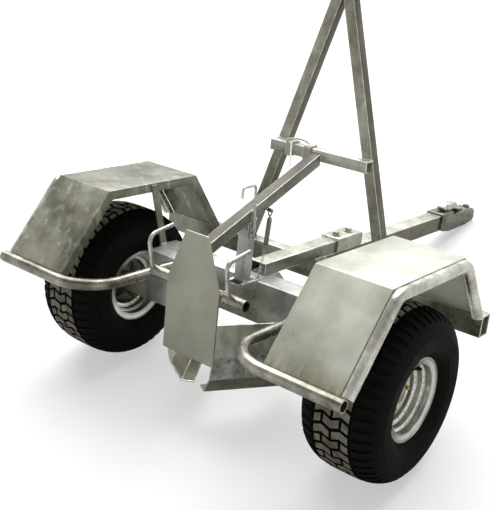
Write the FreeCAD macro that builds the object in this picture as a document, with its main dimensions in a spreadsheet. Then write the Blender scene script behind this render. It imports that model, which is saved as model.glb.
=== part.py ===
import FreeCAD, Part
import math
import os
import re

# Two-wheeled galvanised dolly trailer, parked nose down on its coupling
# Every piece is drawn in a level frame: X to the right, Y forward to the coupling, Z up from the ground,
# with the drawbar level. All pieces then share one parking tilt about the wheels' axis.

os.makedirs("parts", exist_ok=True)

V = FreeCAD.Vector
doc = FreeCAD.newDocument("DollyTrailer")

# Driving sizes in millimetres
SIZES = {
    # wheels
    "wheel_track": 1014.0,
    "axle_y": -16.0,
    "axle_level": 259.0,
    "tyre_radius": 244.5,
    "tyre_width": 242.0,
    "tread_width": 198.0,
    "tread_crown_drop": 3.0,
    "tread_shoulder_drop": 19.0,
    "tyre_wall": 12.0,
    "rim_width": 194.0,
    "rim_flange_radius": 118.5,
    "bead_seat_radius": 101.5,
    "rim_flange_lip": 9.0,
    "rim_step_radius": 92.0,
    "rim_well_radius": 80.0,
    "rim_well_half_width": 46.0,
    "rim_wall": 3.5,
    "rim_disc_place": 30.0,
    "rim_dish_depth": 10.0,
    "rim_bore_radius": 30.0,
    "stud_circle_radius": 50.0,
    "stud_radius": 6.0,
    "stud_clearance": 0.2,
    "stud_count": 4,
    "stud_length": 34.0,
    "nut_radius": 11.0,
    "nut_height": 11.0,
    "hub_flange_radius": 64.0,
    "hub_flange_thickness": 9.0,
    "hub_barrel_radius": 33.0,
    "hub_barrel_length": 74.0,
    "hub_cap_radius": 26.0,
    "hub_cap_length": 30.0,
    "hub_cap_wall": 3.0,
    "spindle_radius": 17.5,
    "spindle_gap": 0.05,
    "spindle_end_gap": 4.0,
    "shoulder_ring_gap": 1.0,
    # axle and beam
    "stub_side": 45.0,
    "bracket_inner_x": 232.0,
    "bracket_gap": 30.0,
    "bracket_wall": 6.0,
    "beam_gap": 14.0,
    "beam_back_y": 22.5,
    "beam_depth": 80.0,
    "beam_top": 402.0,
    "beam_height": 130.0,
    "beam_wall": 5.0,
    # drawbar line
    "deck_level": 406.0,
    "socket_width": 60.0,
    "socket_height": 64.0,
    "socket_wall": 5.0,
    "socket_back_y": -45.0,
    "socket_nose_top_y": 133.0,
    "socket_nose_bottom_y": 195.0,
    "socket_slot_width": 36.0,
    "socket_slot_length": 70.0,
    "cross_centre_y": 344.0,
    "cross_depth": 50.0,
    "cross_height": 65.0,
    "cross_wall": 4.0,
    "backbone_width": 56.0,
    "backbone_height": 40.0,
    "backbone_wall": 4.0,
    "backbone_back_y": 60.0,
    "backbone_front_y": 600.0,
    "clamp_back_y": 440.0,
    "clamp_front_y": 584.0,
    "clamp_plate": 6.0,
    "bolt_head_radius": 12.0,
    "bolt_head_height": 10.0,
    "bolt_washer_radius": 17.0,
    "bolt_washer_height": 3.0,
    "bolt_first_y": 474.0,
    "bolt_second_y": 548.0,
    "drawbar_width": 60.0,
    "drawbar_height": 60.0,
    "drawbar_wall": 4.0,
    "drawbar_front_y": 1275.0,
    # coupling
    "coupling_wall": 5.0,
    "coupling_lap": 90.0,
    "coupling_reach": 205.0,
    "coupling_ball_z": 355.6,
    "coupling_head_radius": 31.0,
    "coupling_nose_radius": 30.0,
    "coupling_ball_radius": 25.2,
    "coupling_heel_z": 353.0,
    "coupling_heel_run": 15.0,
    "coupling_bilge_z": 343.0,
    "coupling_keel_z": 334.0,
    "coupling_keel_run": 70.0,
    "coupling_toe_z": 352.0,
    "coupling_brow_z": 362.0,
    "coupling_shelf_z": 394.0,
    "coupling_crown_run": 12.0,
    "coupling_hollow_half_width": 24.0,
    "coupling_hollow_stop": 38.0,
    "knob_radius": 13.0,
    "knob_height": 8.0,
    "knob_setback": 16.0,
    "handle_half_width": 17.0,
    "handle_pivot_setback": 84.0,
    "handle_pivot_length": 40.0,
    "handle_nose_reach": 142.0,
    "handle_back_reach": 252.0,
    "handle_lift": 2.0,
    "handle_height": 27.0,
    "handle_round": 10.0,
    # mast
    "mast_tube": 35.0,
    "mast_y": 351.5,
    "mast_wall": 3.0,
    "mast_foot_x": 266.0,
    "mast_lean": 0.3065,
    "crossbar_bottom": 724.0,
    "crossbar_half_length": 180.0,
    "brace_foot_z": 523.0,
    "brace_head_z": 731.5,
    "post_back_y": -28.0,
    "head_plate_thickness": 8.0,
    "head_plate_width": 110.0,
    "lug_thickness": 12.0,
    "lug_height": 46.0,
    "lug_radius": 30.0,
    "lug_bore_radius": 13.0,
    # rear plate and what it carries
    "rear_plate_back_y": -228.0,
    "rear_plate_thickness": 6.0,
    "rear_plate_half_width": 95.0,
    "rear_plate_top_half_width": 40.0,
    "rear_plate_bottom": 222.0,
    "rear_plate_shoulder": 440.0,
    "rear_plate_top": 587.0,
    "pipe_radius": 16.85,
    "pipe_wall": 3.2,
    "rear_tube_half_length": 172.0,
    "rear_tube_z": 426.0,
    "scoop_start_x": 90.0,
    "scoop_corner_x": 216.0,
    "scoop_corner_y": -15.0,
    "scoop_front_y": 106.0,
    "scoop_wall": 5.0,
    "scoop_top": 346.0,
    "scoop_fold_z": 250.0,
    "scoop_foot_z": 174.0,
    "scoop_foot_inset": 15.0,
    "scoop_skirt_inset": 54.0,
    "scoop_floor_z": 118.0,
    "scoop_floor_inset": 92.0,
    "horn_x": 140.0,
    "horn_radius": 6.0,
    "horn_bend": 26.0,
    "horn_knee_y": -246.0,
    "horn_knee_z": 458.0,
    "horn_back_y": -266.0,
    "horn_top_z": 549.0,
    "horn_tip_y": -172.0,
    "horn_tip_z": 564.0,
    # mudguards
    "guard_gap": 17.0,
    "guard_width": 220.0,
    "guard_sheet": 4.0,
    "guard_top": 609.0,
    "guard_top_back_y": -205.0,
    "guard_top_front_y": 173.0,
    "guard_back_y": -376.0,
    "guard_back_z": 392.0,
    "guard_front_y": 325.0,
    "guard_front_z": 406.0,
    "guard_rail_offset": 11.0,
    "guard_rail_bend": 34.0,
    "edge_bar_depth": 24.0,
    "edge_bar_thickness": 5.0,
    "strut_width": 26.0,
    "strut_thickness": 6.0,
    "strut_top_y": -22.0,
    "strut_foot_y": 38.0,
    "bumper_overhang": 22.0,
    "bumper_run_x": 250.0,
    "bumper_z": 378.0,
    "bumper_y": -391.0,
    "bumper_bend": 128.0,
    # latch over the socket slot
    "strip_thickness": 4.0,
    "strip_back_y": -22.0,
    "strip_width": 15.0,
    "strip_bottom": 538.0,
    "strip_top": 621.0,
    "strip_slot_width": 7.0,
    "strip_slot_length": 24.0,
    "strip_slot_gap": 12.0,
    "hook_radius": 4.0,
    "hook_bend": 12.0,
    "hook_foot_y": -12.0,
    "hook_foot_z": 556.0,
    "hook_y": -23.0,
    "hook_top_z": 698.0,
    "hook_tip_y": -80.0,
    "hook_tip_z": 668.0,
    "spring_x": 27.0,
    "spring_top_y": 56.0,
    "spring_bottom_y": 50.0,
    "spring_radius": 8.0,
    "spring_bottom": 509.0,
    "spring_top": 588.0,
    "spring_eye_radius": 8.0,
    "spring_wire_radius": 2.5,
    "spring_eye_z": 604.0,
    "spring_pin_radius": 4.0,
    # rope tied round the crossbar
    "rope_radius": 3.0,
    "rope_standoff": 3.4,
    "rope_bend": 4.2,
    "rope_pitch": 6.7,
    "rope_brace_y": 193.0,
    "rope_brace_z": 700.0,
    "rope_first_x": -95.0,
    "rope_first_turns": 3,
    "rope_second_x": -50.0,
    "rope_second_turns": 4,
    "rope_crossing_rise": 10.0,
    "rope_tail": 26.0,
    # how far a hole or hollow runs past its face
    "overrun": 2.0,
}

# Sizes that follow from the wheels, the guards and the drawbar
tyre_inner_x = (SIZES["wheel_track"] - SIZES["tyre_width"]) / 2
SIZES["bracket_outer_x"] = tyre_inner_x - SIZES["bracket_gap"]
SIZES["beam_length"] = (tyre_inner_x - SIZES["beam_gap"]) * 2
SIZES["guard_inner_x"] = tyre_inner_x - SIZES["guard_gap"]
SIZES["guard_outer_x"] = SIZES["guard_inner_x"] + SIZES["guard_width"]
SIZES["guard_rail_x"] = SIZES["guard_outer_x"] + SIZES["guard_rail_offset"]
SIZES["bumper_end_x"] = SIZES["guard_outer_x"] + SIZES["bumper_overhang"]
SIZES["cross_length"] = SIZES["bumper_end_x"] * 2
SIZES["coupling_back_y"] = SIZES["drawbar_front_y"] - SIZES["coupling_lap"]
SIZES["coupling_ball_y"] = SIZES["drawbar_front_y"] + SIZES["coupling_reach"]

sheet = doc.addObject("Spreadsheet::Sheet", "Sizes")
for row, (alias, value) in enumerate(SIZES.items(), start=1):
    sheet.set(f"A{row}", alias)
    sheet.set(f"B{row}", str(value))
    sheet.setAlias(f"B{row}", alias)
doc.recompute()

ALIAS = re.compile(r"\b(" + "|".join(sorted(SIZES, key=len, reverse=True)) + r")\b")


def size(alias):
    """Value of one named size, read back from the sheet."""
    return float(sheet.get(alias))


def bind(item, prop, formula):
    """Tie a property to a formula written in the sheet's names."""
    item.setExpression(prop, ALIAS.sub(r"Sizes.\1", formula))


SIDES = {"left": -1, "right": 1}
nodes = {}


def keep(name, item, place=None):
    """Name one finished sub-part, with its place in the level frame."""
    item.Label = name
    nodes[name] = (item, place or FreeCAD.Placement())
    return item


# Ways to draw boxes, tubes, plates and turned pieces

def block(name, corner, extent):
    """A box from its low corner and its extent, all formulas in named sizes."""
    item = doc.addObject("Part::Box", name)
    for prop, formula in zip(("Length", "Width", "Height"), extent):
        bind(item, prop, formula)
    for axis, formula in zip("xyz", corner):
        bind(item, f"Placement.Base.{axis}", formula)
    return item


def cut(name, base, tool):
    item = doc.addObject("Part::Cut", name)
    item.Base = base
    item.Tool = tool
    return item


def plane_of(body, role):
    for item in body.Origin.OriginFeatures:
        if item.Role == role:
            return item
    raise ValueError(role)


def sketch_loops(body, name, role, loops, offset=None):
    """A sketch on one of the body's own planes; each loop is a list of edges or of corner points."""
    sketch = body.newObject("Sketcher::SketchObject", name)
    sketch.AttachmentSupport = (plane_of(body, role), "")
    sketch.MapMode = "FlatFace"
    if offset:
        bind(sketch, ".AttachmentOffset.Base.z", offset)
    for loop in loops:
        if isinstance(loop[0], tuple):
            ends = [V(a, b, 0) for a, b in loop]
            loop = [Part.LineSegment(p, q) for p, q in zip(ends, ends[1:] + ends[:1])]
        for edge in loop:
            sketch.addGeometry(edge, False)
    return sketch


def padded(name, role, loops, length, offset=None):
    """A body with one padded outline; the pad's length is a formula in named sizes."""
    body = doc.addObject("PartDesign::Body", name + "_body")
    sketch = sketch_loops(body, name + "_outline", role, loops, offset)
    pad = body.newObject("PartDesign::Pad", name + "_pad")
    pad.Profile = sketch
    bind(pad, "Length", length)
    return body


def turned(name, outline):
    """A body turned about the wheel's axis; the outline is (place along the axis, radius)."""
    body = doc.addObject("PartDesign::Body", name + "_body")
    sketch = sketch_loops(body, name + "_section", "XZ_Plane", [outline])
    turn = body.newObject("PartDesign::Revolution", name + "_turn")
    turn.Profile = sketch
    turn.ReferenceAxis = (sketch, ["H_Axis"])
    turn.Angle = 360
    return body


def hexagon(centre, radius):
    corners = range(6)
    return [
        (centre[0] + radius * math.cos(math.pi * k / 3), centre[1] + radius * math.sin(math.pi * k / 3))
        for k in corners
    ]


def circle(centre, radius):
    return [Part.Circle(V(centre[0], centre[1], 0), V(0, 0, 1), radius)]


def rounded_path(points, bend):
    """A wire of straight runs joined by tangent arcs of one bend radius."""
    edges = []
    start = points[0]
    for before, corner, after in zip(points, points[1:], points[2:]):
        come = (corner - before).normalize()
        leave = (after - corner).normalize()
        turn = come.getAngle(leave)
        trim = bend * math.tan(turn / 2)
        first = corner - come * trim
        last = corner + leave * trim
        inward = (leave - come).normalize()
        centre = corner + inward * (bend / math.cos(turn / 2))
        middle = centre - inward * bend
        edges.append(Part.LineSegment(start, first).toShape())
        edges.append(Part.Arc(first, middle, last).toShape())
        start = last
    edges.append(Part.LineSegment(start, points[-1]).toShape())
    return Part.Wire(edges)


def round_section(path, radius):
    first = path.OrderedEdges[0]
    start = first.valueAt(first.FirstParameter)
    along = first.tangentAt(first.FirstParameter)
    return Part.Wire(Part.makeCircle(radius, start, along))


def bent_rod(points, bend, radius):
    path = rounded_path(points, bend)
    return path.makePipeShell([round_section(path, radius)], True, False)


def bent_pipe(points, bend, radius, wall):
    return bent_rod(points, bend, radius).cut(bent_rod(points, bend, radius - wall))


def feature(name, shape):
    item = doc.addObject("Part::Feature", name + "_shape")
    item.Shape = shape
    return item


def mirrored_points(points, side):
    return [V(side * x, y, z) for x, y, z in points]


# Wheels: a fat turf tyre on a deep stepped rim, a hub with four studs, a spindle and its bracket

axle_y = size("axle_y")
axle_z = size("axle_level")
half_track = size("wheel_track") / 2


def tyre_section():
    """Outer skin from bead to bead, and the inner skin one wall inside it."""
    half = size("tyre_width") / 2
    tread = size("tread_width") / 2
    bead = size("rim_width") / 2 - size("rim_flange_lip")
    top = size("tyre_radius")
    seat = size("bead_seat_radius")
    wall = size("tyre_wall")
    flange = size("rim_flange_radius")
    shoulder = top - size("tread_shoulder_drop")
    crown = top - size("tread_crown_drop")
    belly = (shoulder + flange) / 2
    crown_share = 0.62
    bulge_share = 0.985
    bead_step_share = 0.25
    belly_drop_share = 0.33
    outer = [
        (bead, seat),
        (bead, flange - wall * bead_step_share),
        (bead + (half - bead) * bulge_share, belly - (belly - flange) * belly_drop_share),
        (half, belly),
        (half - (half - tread) * bead_step_share, (shoulder + belly) / 2),
        (tread, shoulder),
        (tread * crown_share, crown),
        (0, top),
    ]
    inner = [
        (bead - wall, seat),
        (bead - wall, flange),
        (half - wall, belly),
        (tread, shoulder - wall),
        (tread * crown_share, crown - wall),
        (0, top - wall),
    ]
    right = outer + [(-a, r) for a, r in reversed(outer[:-1])]
    back = [(-a, r) for a, r in inner] + [(a, r) for a, r in reversed(inner[:-1])]
    return right + back


def rim_section():
    """Pressed barrel with flanges, bead seats, steps and a well."""
    edge = size("rim_width") / 2
    lip = size("rim_flange_lip")
    wall = size("rim_wall")
    flange = size("rim_flange_radius")
    seat = size("bead_seat_radius")
    step = size("rim_step_radius")
    well = size("rim_well_radius")
    well_half = size("rim_well_half_width")
    step_share = 0.7
    tyre_side = [
        (edge, flange),
        (edge - lip + wall, flange),
        (edge - lip, seat),
        (edge * step_share, seat),
        (edge * step_share - wall, step),
        (well_half + wall, step),
        (well_half, well),
    ]
    air_side = [
        (edge, flange - wall),
        (edge - lip + wall + wall, flange - wall),
        (edge - lip + wall, seat - wall),
        (edge * step_share + wall, seat - wall),
        (edge * step_share, step - wall),
        (well_half + wall + wall, step - wall),
        (well_half + wall, well - wall),
    ]
    top = tyre_side + [(-a, r) for a, r in reversed(tyre_side)]
    bottom = [(-a, r) for a, r in air_side] + [(a, r) for a, r in reversed(air_side)]
    return top + bottom


def rim_body(name):
    """The barrel and its dished disc, with holes for the hub and the studs."""
    body = turned(name, rim_section())
    wall = size("rim_wall")
    place = size("rim_disc_place")
    dish = size("rim_dish_depth")
    flat = size("hub_flange_radius") + wall
    well = size("rim_well_radius") - wall / 2
    disc = [
        (place, size("rim_bore_radius")),
        (place, flat),
        (place + dish, well),
        (place + dish - wall, well),
        (place - wall, flat),
        (place - wall, size("rim_bore_radius")),
    ]
    sketch = sketch_loops(body, name + "_disc_section", "XZ_Plane", [disc])
    turn = body.newObject("PartDesign::Revolution", name + "_disc")
    turn.Profile = sketch
    turn.ReferenceAxis = (sketch, ["H_Axis"])
    turn.Angle = 360
    doc.recompute()
    hole = sketch_loops(
        body, name + "_stud_hole", "YZ_Plane",
        [circle((size("stud_circle_radius"), 0), size("stud_radius") + size("stud_clearance"))],
    )
    pocket = body.newObject("PartDesign::Pocket", name + "_stud_pocket")
    pocket.Profile = hole
    pocket.Type = 1
    pocket.Midplane = True
    pattern = body.newObject("PartDesign::PolarPattern", name + "_stud_pattern")
    pattern.Originals = [pocket]
    pattern.Axis = (hole, ["N_Axis"])
    pattern.Angle = 360
    bind(pattern, "Occurrences", "stud_count")
    body.Tip = pattern
    return body


def hub_body(name):
    """Flange against the rim's disc, barrel round the spindle, grease cap, studs and nuts."""
    bore = size("spindle_radius") + size("spindle_gap")
    face = size("rim_disc_place") - size("rim_wall")
    back = face - size("hub_flange_thickness")
    barrel = size("hub_barrel_length") - size("hub_cap_length")
    inner_end = face - barrel
    cap_end = face + size("hub_cap_length")
    cap = size("hub_cap_radius")
    wall = size("hub_cap_wall")
    section = [
        (inner_end, bore),
        (inner_end, size("hub_barrel_radius")),
        (back, size("hub_barrel_radius")),
        (back, size("hub_flange_radius")),
        (face, size("hub_flange_radius")),
        (face, cap),
        (cap_end - wall, cap),
        (cap_end, cap - wall),
        (cap_end, 0),
        (cap_end - wall, 0),
        (cap_end - wall, bore),
    ]
    body = turned(name, section)
    doc.recompute()
    ring = size("stud_circle_radius")
    stud = sketch_loops(body, name + "_stud_outline", "YZ_Plane", [circle((ring, 0), size("stud_radius"))],
                        "rim_disc_place-rim_wall-hub_flange_thickness/2")
    stud_pad = body.newObject("PartDesign::Pad", name + "_stud")
    stud_pad.Profile = stud
    bind(stud_pad, "Length", "stud_length-hub_flange_thickness/2")
    nut = sketch_loops(body, name + "_nut_outline", "YZ_Plane", [hexagon((ring, 0), size("nut_radius"))],
                       "rim_disc_place")
    nut_pad = body.newObject("PartDesign::Pad", name + "_nut")
    nut_pad.Profile = nut
    bind(nut_pad, "Length", "nut_height")
    pattern = body.newObject("PartDesign::PolarPattern", name + "_stud_pattern")
    pattern.Originals = [stud_pad, nut_pad]
    pattern.Axis = (nut, ["N_Axis"])
    pattern.Angle = 360
    bind(pattern, "Occurrences", "stud_count")
    body.Tip = pattern
    return body


def stub_axle(name, side):
    """A square bar welded to its bracket, turned down to the spindle inside the hub."""
    hub_face = size("rim_disc_place") - size("rim_wall")
    barrel = size("hub_barrel_length") - size("hub_cap_length")
    shoulder = half_track + hub_face - barrel - size("shoulder_ring_gap")
    spindle_end = half_track + hub_face + size("hub_cap_length") - size("hub_cap_wall") - size("spindle_end_gap")
    half = size("stub_side") / 2
    bar_length = shoulder - size("bracket_outer_x")
    bar = Part.makeBox(bar_length, size("stub_side"), size("stub_side"),
                       V(size("bracket_outer_x"), axle_y - half, axle_z - half))
    spindle = Part.makeCylinder(size("spindle_radius"), spindle_end - shoulder, V(shoulder, axle_y, axle_z),
                                V(1, 0, 0))
    shape = bar.fuse(spindle)
    if side < 0:
        shape = shape.mirror(V(0, 0, 0), V(1, 0, 0))
    return feature(name, shape)


for side_name, side in SIDES.items():
    turn_over = FreeCAD.Rotation(V(0, 0, 1), 0 if side > 0 else 180)
    at_wheel = FreeCAD.Placement(V(side * half_track, axle_y, axle_z), turn_over)
    keep(f"{side_name}_tyre", turned(f"{side_name}_tyre", tyre_section()), at_wheel)
    keep(f"{side_name}_rim", rim_body(f"{side_name}_rim"), at_wheel)
    keep(f"{side_name}_hub", hub_body(f"{side_name}_hub"), at_wheel)
    keep(f"{side_name}_stub_axle", stub_axle(f"{side_name}_stub_axle", side))

# Axle beam and its brackets

socket_bottom = "deck_level-socket_height"
beam_shell = cut(
    "beam_shell",
    block("beam_outer", ("-beam_length/2", "beam_back_y", "beam_top-beam_height"),
          ("beam_length", "beam_depth", "beam_height")),
    block("beam_hollow", ("-beam_length/2-overrun", "beam_back_y+beam_wall", "beam_top-beam_height+beam_wall"),
          ("beam_length+overrun*2", "beam_depth-beam_wall*2", "beam_height-beam_wall*2")),
)
beam_notch = block("beam_notch", ("-socket_width/2", "beam_back_y-overrun", socket_bottom),
                   ("socket_width", "beam_depth+overrun*2", "socket_height"))
keep("axle_beam", cut("beam", beam_shell, beam_notch))

for side_name, side in SIDES.items():
    low_x = "bracket_inner_x" if side > 0 else "-bracket_outer_x"
    low_y = "axle_y-stub_side/2"
    low_z = "axle_level-stub_side/2"
    height = "beam_top-axle_level+stub_side/2"
    bracket = cut(
        f"{side_name}_bracket",
        block(f"{side_name}_bracket_outer", (low_x, low_y, low_z),
              ("bracket_outer_x-bracket_inner_x", "beam_back_y-axle_y+stub_side/2", height)),
        block(f"{side_name}_bracket_hollow", (low_x + "+bracket_wall", low_y + "+bracket_wall",
                                              low_z + "+bracket_wall"),
              ("bracket_outer_x-bracket_inner_x-bracket_wall*2", "beam_back_y-axle_y+stub_side/2",
               height + "-bracket_wall*2")),
    )
    keep(f"{side_name}_axle_bracket", bracket)

# Drawbar line: slotted socket through the beam, backbone tube over it, clamp, drawbar and front cross beam


def socket_outline(inset):
    """Side view of the socket with its slanted nose, inset by a wall, twice along the slant."""
    top = size("deck_level") - inset
    bottom = size("deck_level") - size("socket_height") + inset
    back = size("socket_back_y") + inset
    return [
        (back, bottom),
        (size("socket_nose_bottom_y") + inset * 2, bottom),
        (size("socket_nose_top_y") + inset * 2, top),
        (back, top),
    ]


socket_outer = padded("socket_outer", "YZ_Plane", [socket_outline(0)], "socket_width", "-socket_width/2")
socket_hollow = padded("socket_hollow", "YZ_Plane", [socket_outline(size("socket_wall"))],
                       "socket_width-socket_wall*2", "-socket_width/2+socket_wall")
socket_slot = block("socket_slot", ("-socket_slot_width/2", "socket_back_y-overrun", "deck_level-socket_wall-overrun"),
                    ("socket_slot_width", "socket_slot_length+overrun", "socket_wall+overrun*2"))
keep("drawbar_socket", cut("socket", cut("socket_tube", socket_outer, socket_hollow), socket_slot))


def tube_along_y(name, half_width, back, front, bottom, height, wall):
    """A rectangular tube that runs forward, open at both ends."""
    outer = block(name + "_outer", (f"-{half_width}", back, bottom), (f"{half_width}*2", f"{front}-({back})", height))
    hollow = block(name + "_hollow", (f"-{half_width}+{wall}", f"{back}-overrun", f"{bottom}+{wall}"),
                   (f"{half_width}*2-{wall}*2", f"{front}-({back})+overrun*2", f"{height}-{wall}*2"))
    return cut(name, outer, hollow)


keep("backbone", tube_along_y("backbone_tube", "backbone_width/2", "backbone_back_y", "backbone_front_y",
                              "deck_level", "backbone_height", "backbone_wall"))
keep("drawbar", tube_along_y("drawbar_tube", "drawbar_width/2", "cross_centre_y+cross_depth/2", "drawbar_front_y",
                             "deck_level-drawbar_height", "drawbar_height", "drawbar_wall"))
cross_outer = block("cross_outer", ("-cross_length/2", "cross_centre_y-cross_depth/2", "deck_level-cross_height"),
                    ("cross_length", "cross_depth", "cross_height"))
cross_hollow = block("cross_hollow", ("-cross_length/2-overrun", "cross_centre_y-cross_depth/2+cross_wall",
                                      "deck_level-cross_height+cross_wall"),
                     ("cross_length+overrun*2", "cross_depth-cross_wall*2", "cross_height-cross_wall*2"))
keep("front_cross_beam", cut("cross_beam", cross_outer, cross_hollow))


def clamp_shape():
    """A saddle plate folded over the backbone, held by two bolts through washers."""
    back = size("clamp_back_y")
    length = size("clamp_front_y") - back
    plate = size("clamp_plate")
    top = size("deck_level") + size("backbone_height")
    inner = size("backbone_width")
    outer = inner + plate * 2
    saddle = Part.makeBox(outer, length, size("backbone_height") + plate, V(-outer / 2, back, size("deck_level")))
    room = Part.makeBox(inner, length + size("overrun") * 2, size("backbone_height"),
                        V(-inner / 2, back - size("overrun"), size("deck_level")))
    shape = saddle.cut(room)
    for name in ("bolt_first_y", "bolt_second_y"):
        at = V(0, size(name), top + plate)
        washer = Part.makeCylinder(size("bolt_washer_radius"), size("bolt_washer_height"), at)
        head_at = at + V(0, 0, size("bolt_washer_height"))
        corners = [head_at + V(a, b, 0) for a, b in hexagon((0, 0), size("bolt_head_radius"))]
        head = Part.Face(Part.makePolygon(corners + corners[:1])).extrude(V(0, 0, size("bolt_head_height")))
        shape = shape.fuse(washer).fuse(head)
    return shape


keep("backbone_clamp", feature("clamp", clamp_shape()))

# Ball coupling: a folded body over the drawbar's end, a neck and the round head with its ball socket


def side_plate(outline, half_width):
    """A solid of one side view, as wide as asked about the middle."""
    corners = [V(-half_width, y, z) for y, z in outline]
    return Part.Face(Part.makePolygon(corners + corners[:1])).extrude(V(half_width * 2, 0, 0))


def coupling_shape():
    """A folded channel over the drawbar's end with a hull-like keel, a round head and a nut on top."""
    wall = size("coupling_wall")
    back = size("coupling_back_y")
    cover_end = size("drawbar_front_y") + wall
    ball = V(0, size("coupling_ball_y"), size("coupling_ball_z"))
    head = size("coupling_head_radius")
    nose = size("coupling_nose_radius")
    deck = size("deck_level")
    shelf = size("coupling_shelf_z")
    inner = size("drawbar_width") / 2
    outer = inner + wall
    keel = size("coupling_keel_run")
    toe = ball.y + nose
    hull = side_plate([
        (back, size("coupling_heel_z")),
        (back + size("coupling_heel_run"), size("coupling_bilge_z")),
        (back + keel, size("coupling_keel_z")),
        (ball.y - keel, size("coupling_keel_z")),
        (toe, size("coupling_toe_z")),
        (toe, size("coupling_brow_z")),
        (ball.y - size("coupling_crown_run"), shelf),
        (cover_end + wall, shelf),
        (cover_end, deck + wall),
        (back, deck + wall),
    ], outer)
    plan = [V(-outer, back, 0), V(outer, back, 0), V(outer, cover_end, 0), V(nose, ball.y, 0), V(-nose, ball.y, 0),
            V(-outer, cover_end, 0)]
    plan_run = Part.Face(Part.makePolygon(plan + plan[:1])).extrude(V(0, 0, deck * 2))
    plan_nose = Part.makeCylinder(nose, deck * 2, V(0, ball.y, 0))
    tube_room = Part.makeBox(inner * 2, cover_end - wall - back + size("overrun"), deck,
                             V(-inner, back - size("overrun"), 0))
    hollow_half = size("coupling_hollow_half_width")
    hollow = Part.makeBox(hollow_half * 2, ball.y - size("coupling_hollow_stop") - cover_end, shelf - wall,
                          V(-hollow_half, cover_end, 0))
    knob = Part.makeCylinder(size("knob_radius"), shelf + size("knob_height") - ball.z,
                             V(0, ball.y - size("knob_setback"), ball.z))
    dome = Part.makeSphere(head, ball)
    socket = Part.makeSphere(size("coupling_ball_radius"), ball)
    throat = Part.makeCylinder(size("coupling_ball_radius"), head + size("overrun"), ball, V(0, 0, -1))
    shape = hull.common(plan_run.fuse(plan_nose)).cut(tube_room).cut(hollow).fuse(knob).fuse(dome)
    return shape.cut(socket).cut(throat).removeSplitter()


def handle_shape():
    """A broad rounded lever over the channel, which runs down to its pivot behind the head."""
    top = size("deck_level") + size("coupling_wall")
    shelf = size("coupling_shelf_z")
    ball_y = size("coupling_ball_y")
    pivot_front = ball_y - size("handle_pivot_setback")
    pivot_back = pivot_front - size("handle_pivot_length")
    nose = ball_y - size("handle_nose_reach")
    back = ball_y - size("handle_back_reach")
    under = top + size("handle_lift")
    crest = top + size("handle_height")
    round_off = size("handle_round")
    outline = [
        (back + round_off, under),
        (back, under + round_off),
        (back, crest - round_off),
        (back + round_off, crest),
        (nose - round_off, crest),
        (nose, crest - round_off),
        (nose + round_off, under),
        (pivot_front, under - round_off),
        (pivot_front, shelf),
        (pivot_back, shelf),
        (pivot_back, under - round_off),
        (nose - round_off - round_off, under),
    ]
    return side_plate(outline, size("handle_half_width"))


keep("coupling_body", feature("coupling", coupling_shape()))
keep("coupling_handle", feature("handle", handle_shape()))

# Mast: two leaning legs, a crossbar on their rear faces, a brace to the rear plate and a lifting lug

lean = size("mast_lean")
tilt = math.atan(lean)
leg_half = size("mast_tube") / 2 / math.cos(tilt)
leg_hollow_half = (size("mast_tube") / 2 - size("mast_wall")) / math.cos(tilt)
leg_height = (size("mast_foot_x") - leg_half) / lean
mast_top = size("deck_level") + leg_height


def leg_loops(side):
    foot = size("deck_level")
    centre_foot = size("mast_foot_x")
    loops = []
    for half in (leg_half, leg_hollow_half):
        top_x = centre_foot - leg_height * lean
        loops.append([
            (side * (centre_foot - half), foot),
            (side * (centre_foot + half), foot),
            (side * (top_x + half), mast_top),
            (side * (top_x - half), mast_top),
        ])
    return loops


def mast_leg(name, side):
    """Outer bar less its hollow, both padded across the mast's plane."""
    outer, hollow = leg_loops(side)
    bar = padded(name + "_bar", "XZ_Plane", [outer], "mast_tube", "-mast_y-mast_tube/2")
    core = padded(name + "_core", "XZ_Plane", [hollow], "mast_tube-mast_wall*2",
                  "-mast_y-mast_tube/2+mast_wall")
    return cut(name, bar, core)


for side_name, side in SIDES.items():
    keep(f"{side_name}_mast_leg", mast_leg(f"{side_name}_leg", side))

crossbar_depth_share = 1.5
bar_back = f"mast_y-mast_tube*{crossbar_depth_share}"
crossbar_outer = block("crossbar_outer", ("-crossbar_half_length", bar_back, "crossbar_bottom"),
                       ("crossbar_half_length*2", "mast_tube", "mast_tube"))
crossbar_hollow = block("crossbar_hollow", ("-crossbar_half_length-overrun", bar_back + "+mast_wall",
                                            "crossbar_bottom+mast_wall"),
                        ("crossbar_half_length*2+overrun*2", "mast_tube-mast_wall*2",
                         "mast_tube-mast_wall*2"))
keep("mast_crossbar", cut("crossbar", crossbar_outer, crossbar_hollow))


def brace_outline(inset):
    """Side view of the brace from the rear plate up to the crossbar's rear face."""
    plate_front = size("rear_plate_back_y") + size("rear_plate_thickness")
    bar_rear = size("mast_y") - size("mast_tube") * crossbar_depth_share
    slope = math.atan((size("brace_head_z") - size("brace_foot_z")) / (bar_rear - plate_front))
    half = (size("mast_tube") / 2 - inset) / math.cos(slope)
    return [
        (plate_front, size("brace_foot_z") - half),
        (bar_rear, size("brace_head_z") - half),
        (bar_rear, size("brace_head_z") + half),
        (plate_front, size("brace_foot_z") + half),
    ]


brace_bar = padded("brace_bar", "YZ_Plane", [brace_outline(0)], "mast_tube", "-mast_tube/2")
brace_core = padded("brace_core", "YZ_Plane", [brace_outline(size("mast_wall"))], "mast_tube-mast_wall*2",
                    "-mast_tube/2+mast_wall")
keep("mast_brace", cut("brace", brace_bar, brace_core))


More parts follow.
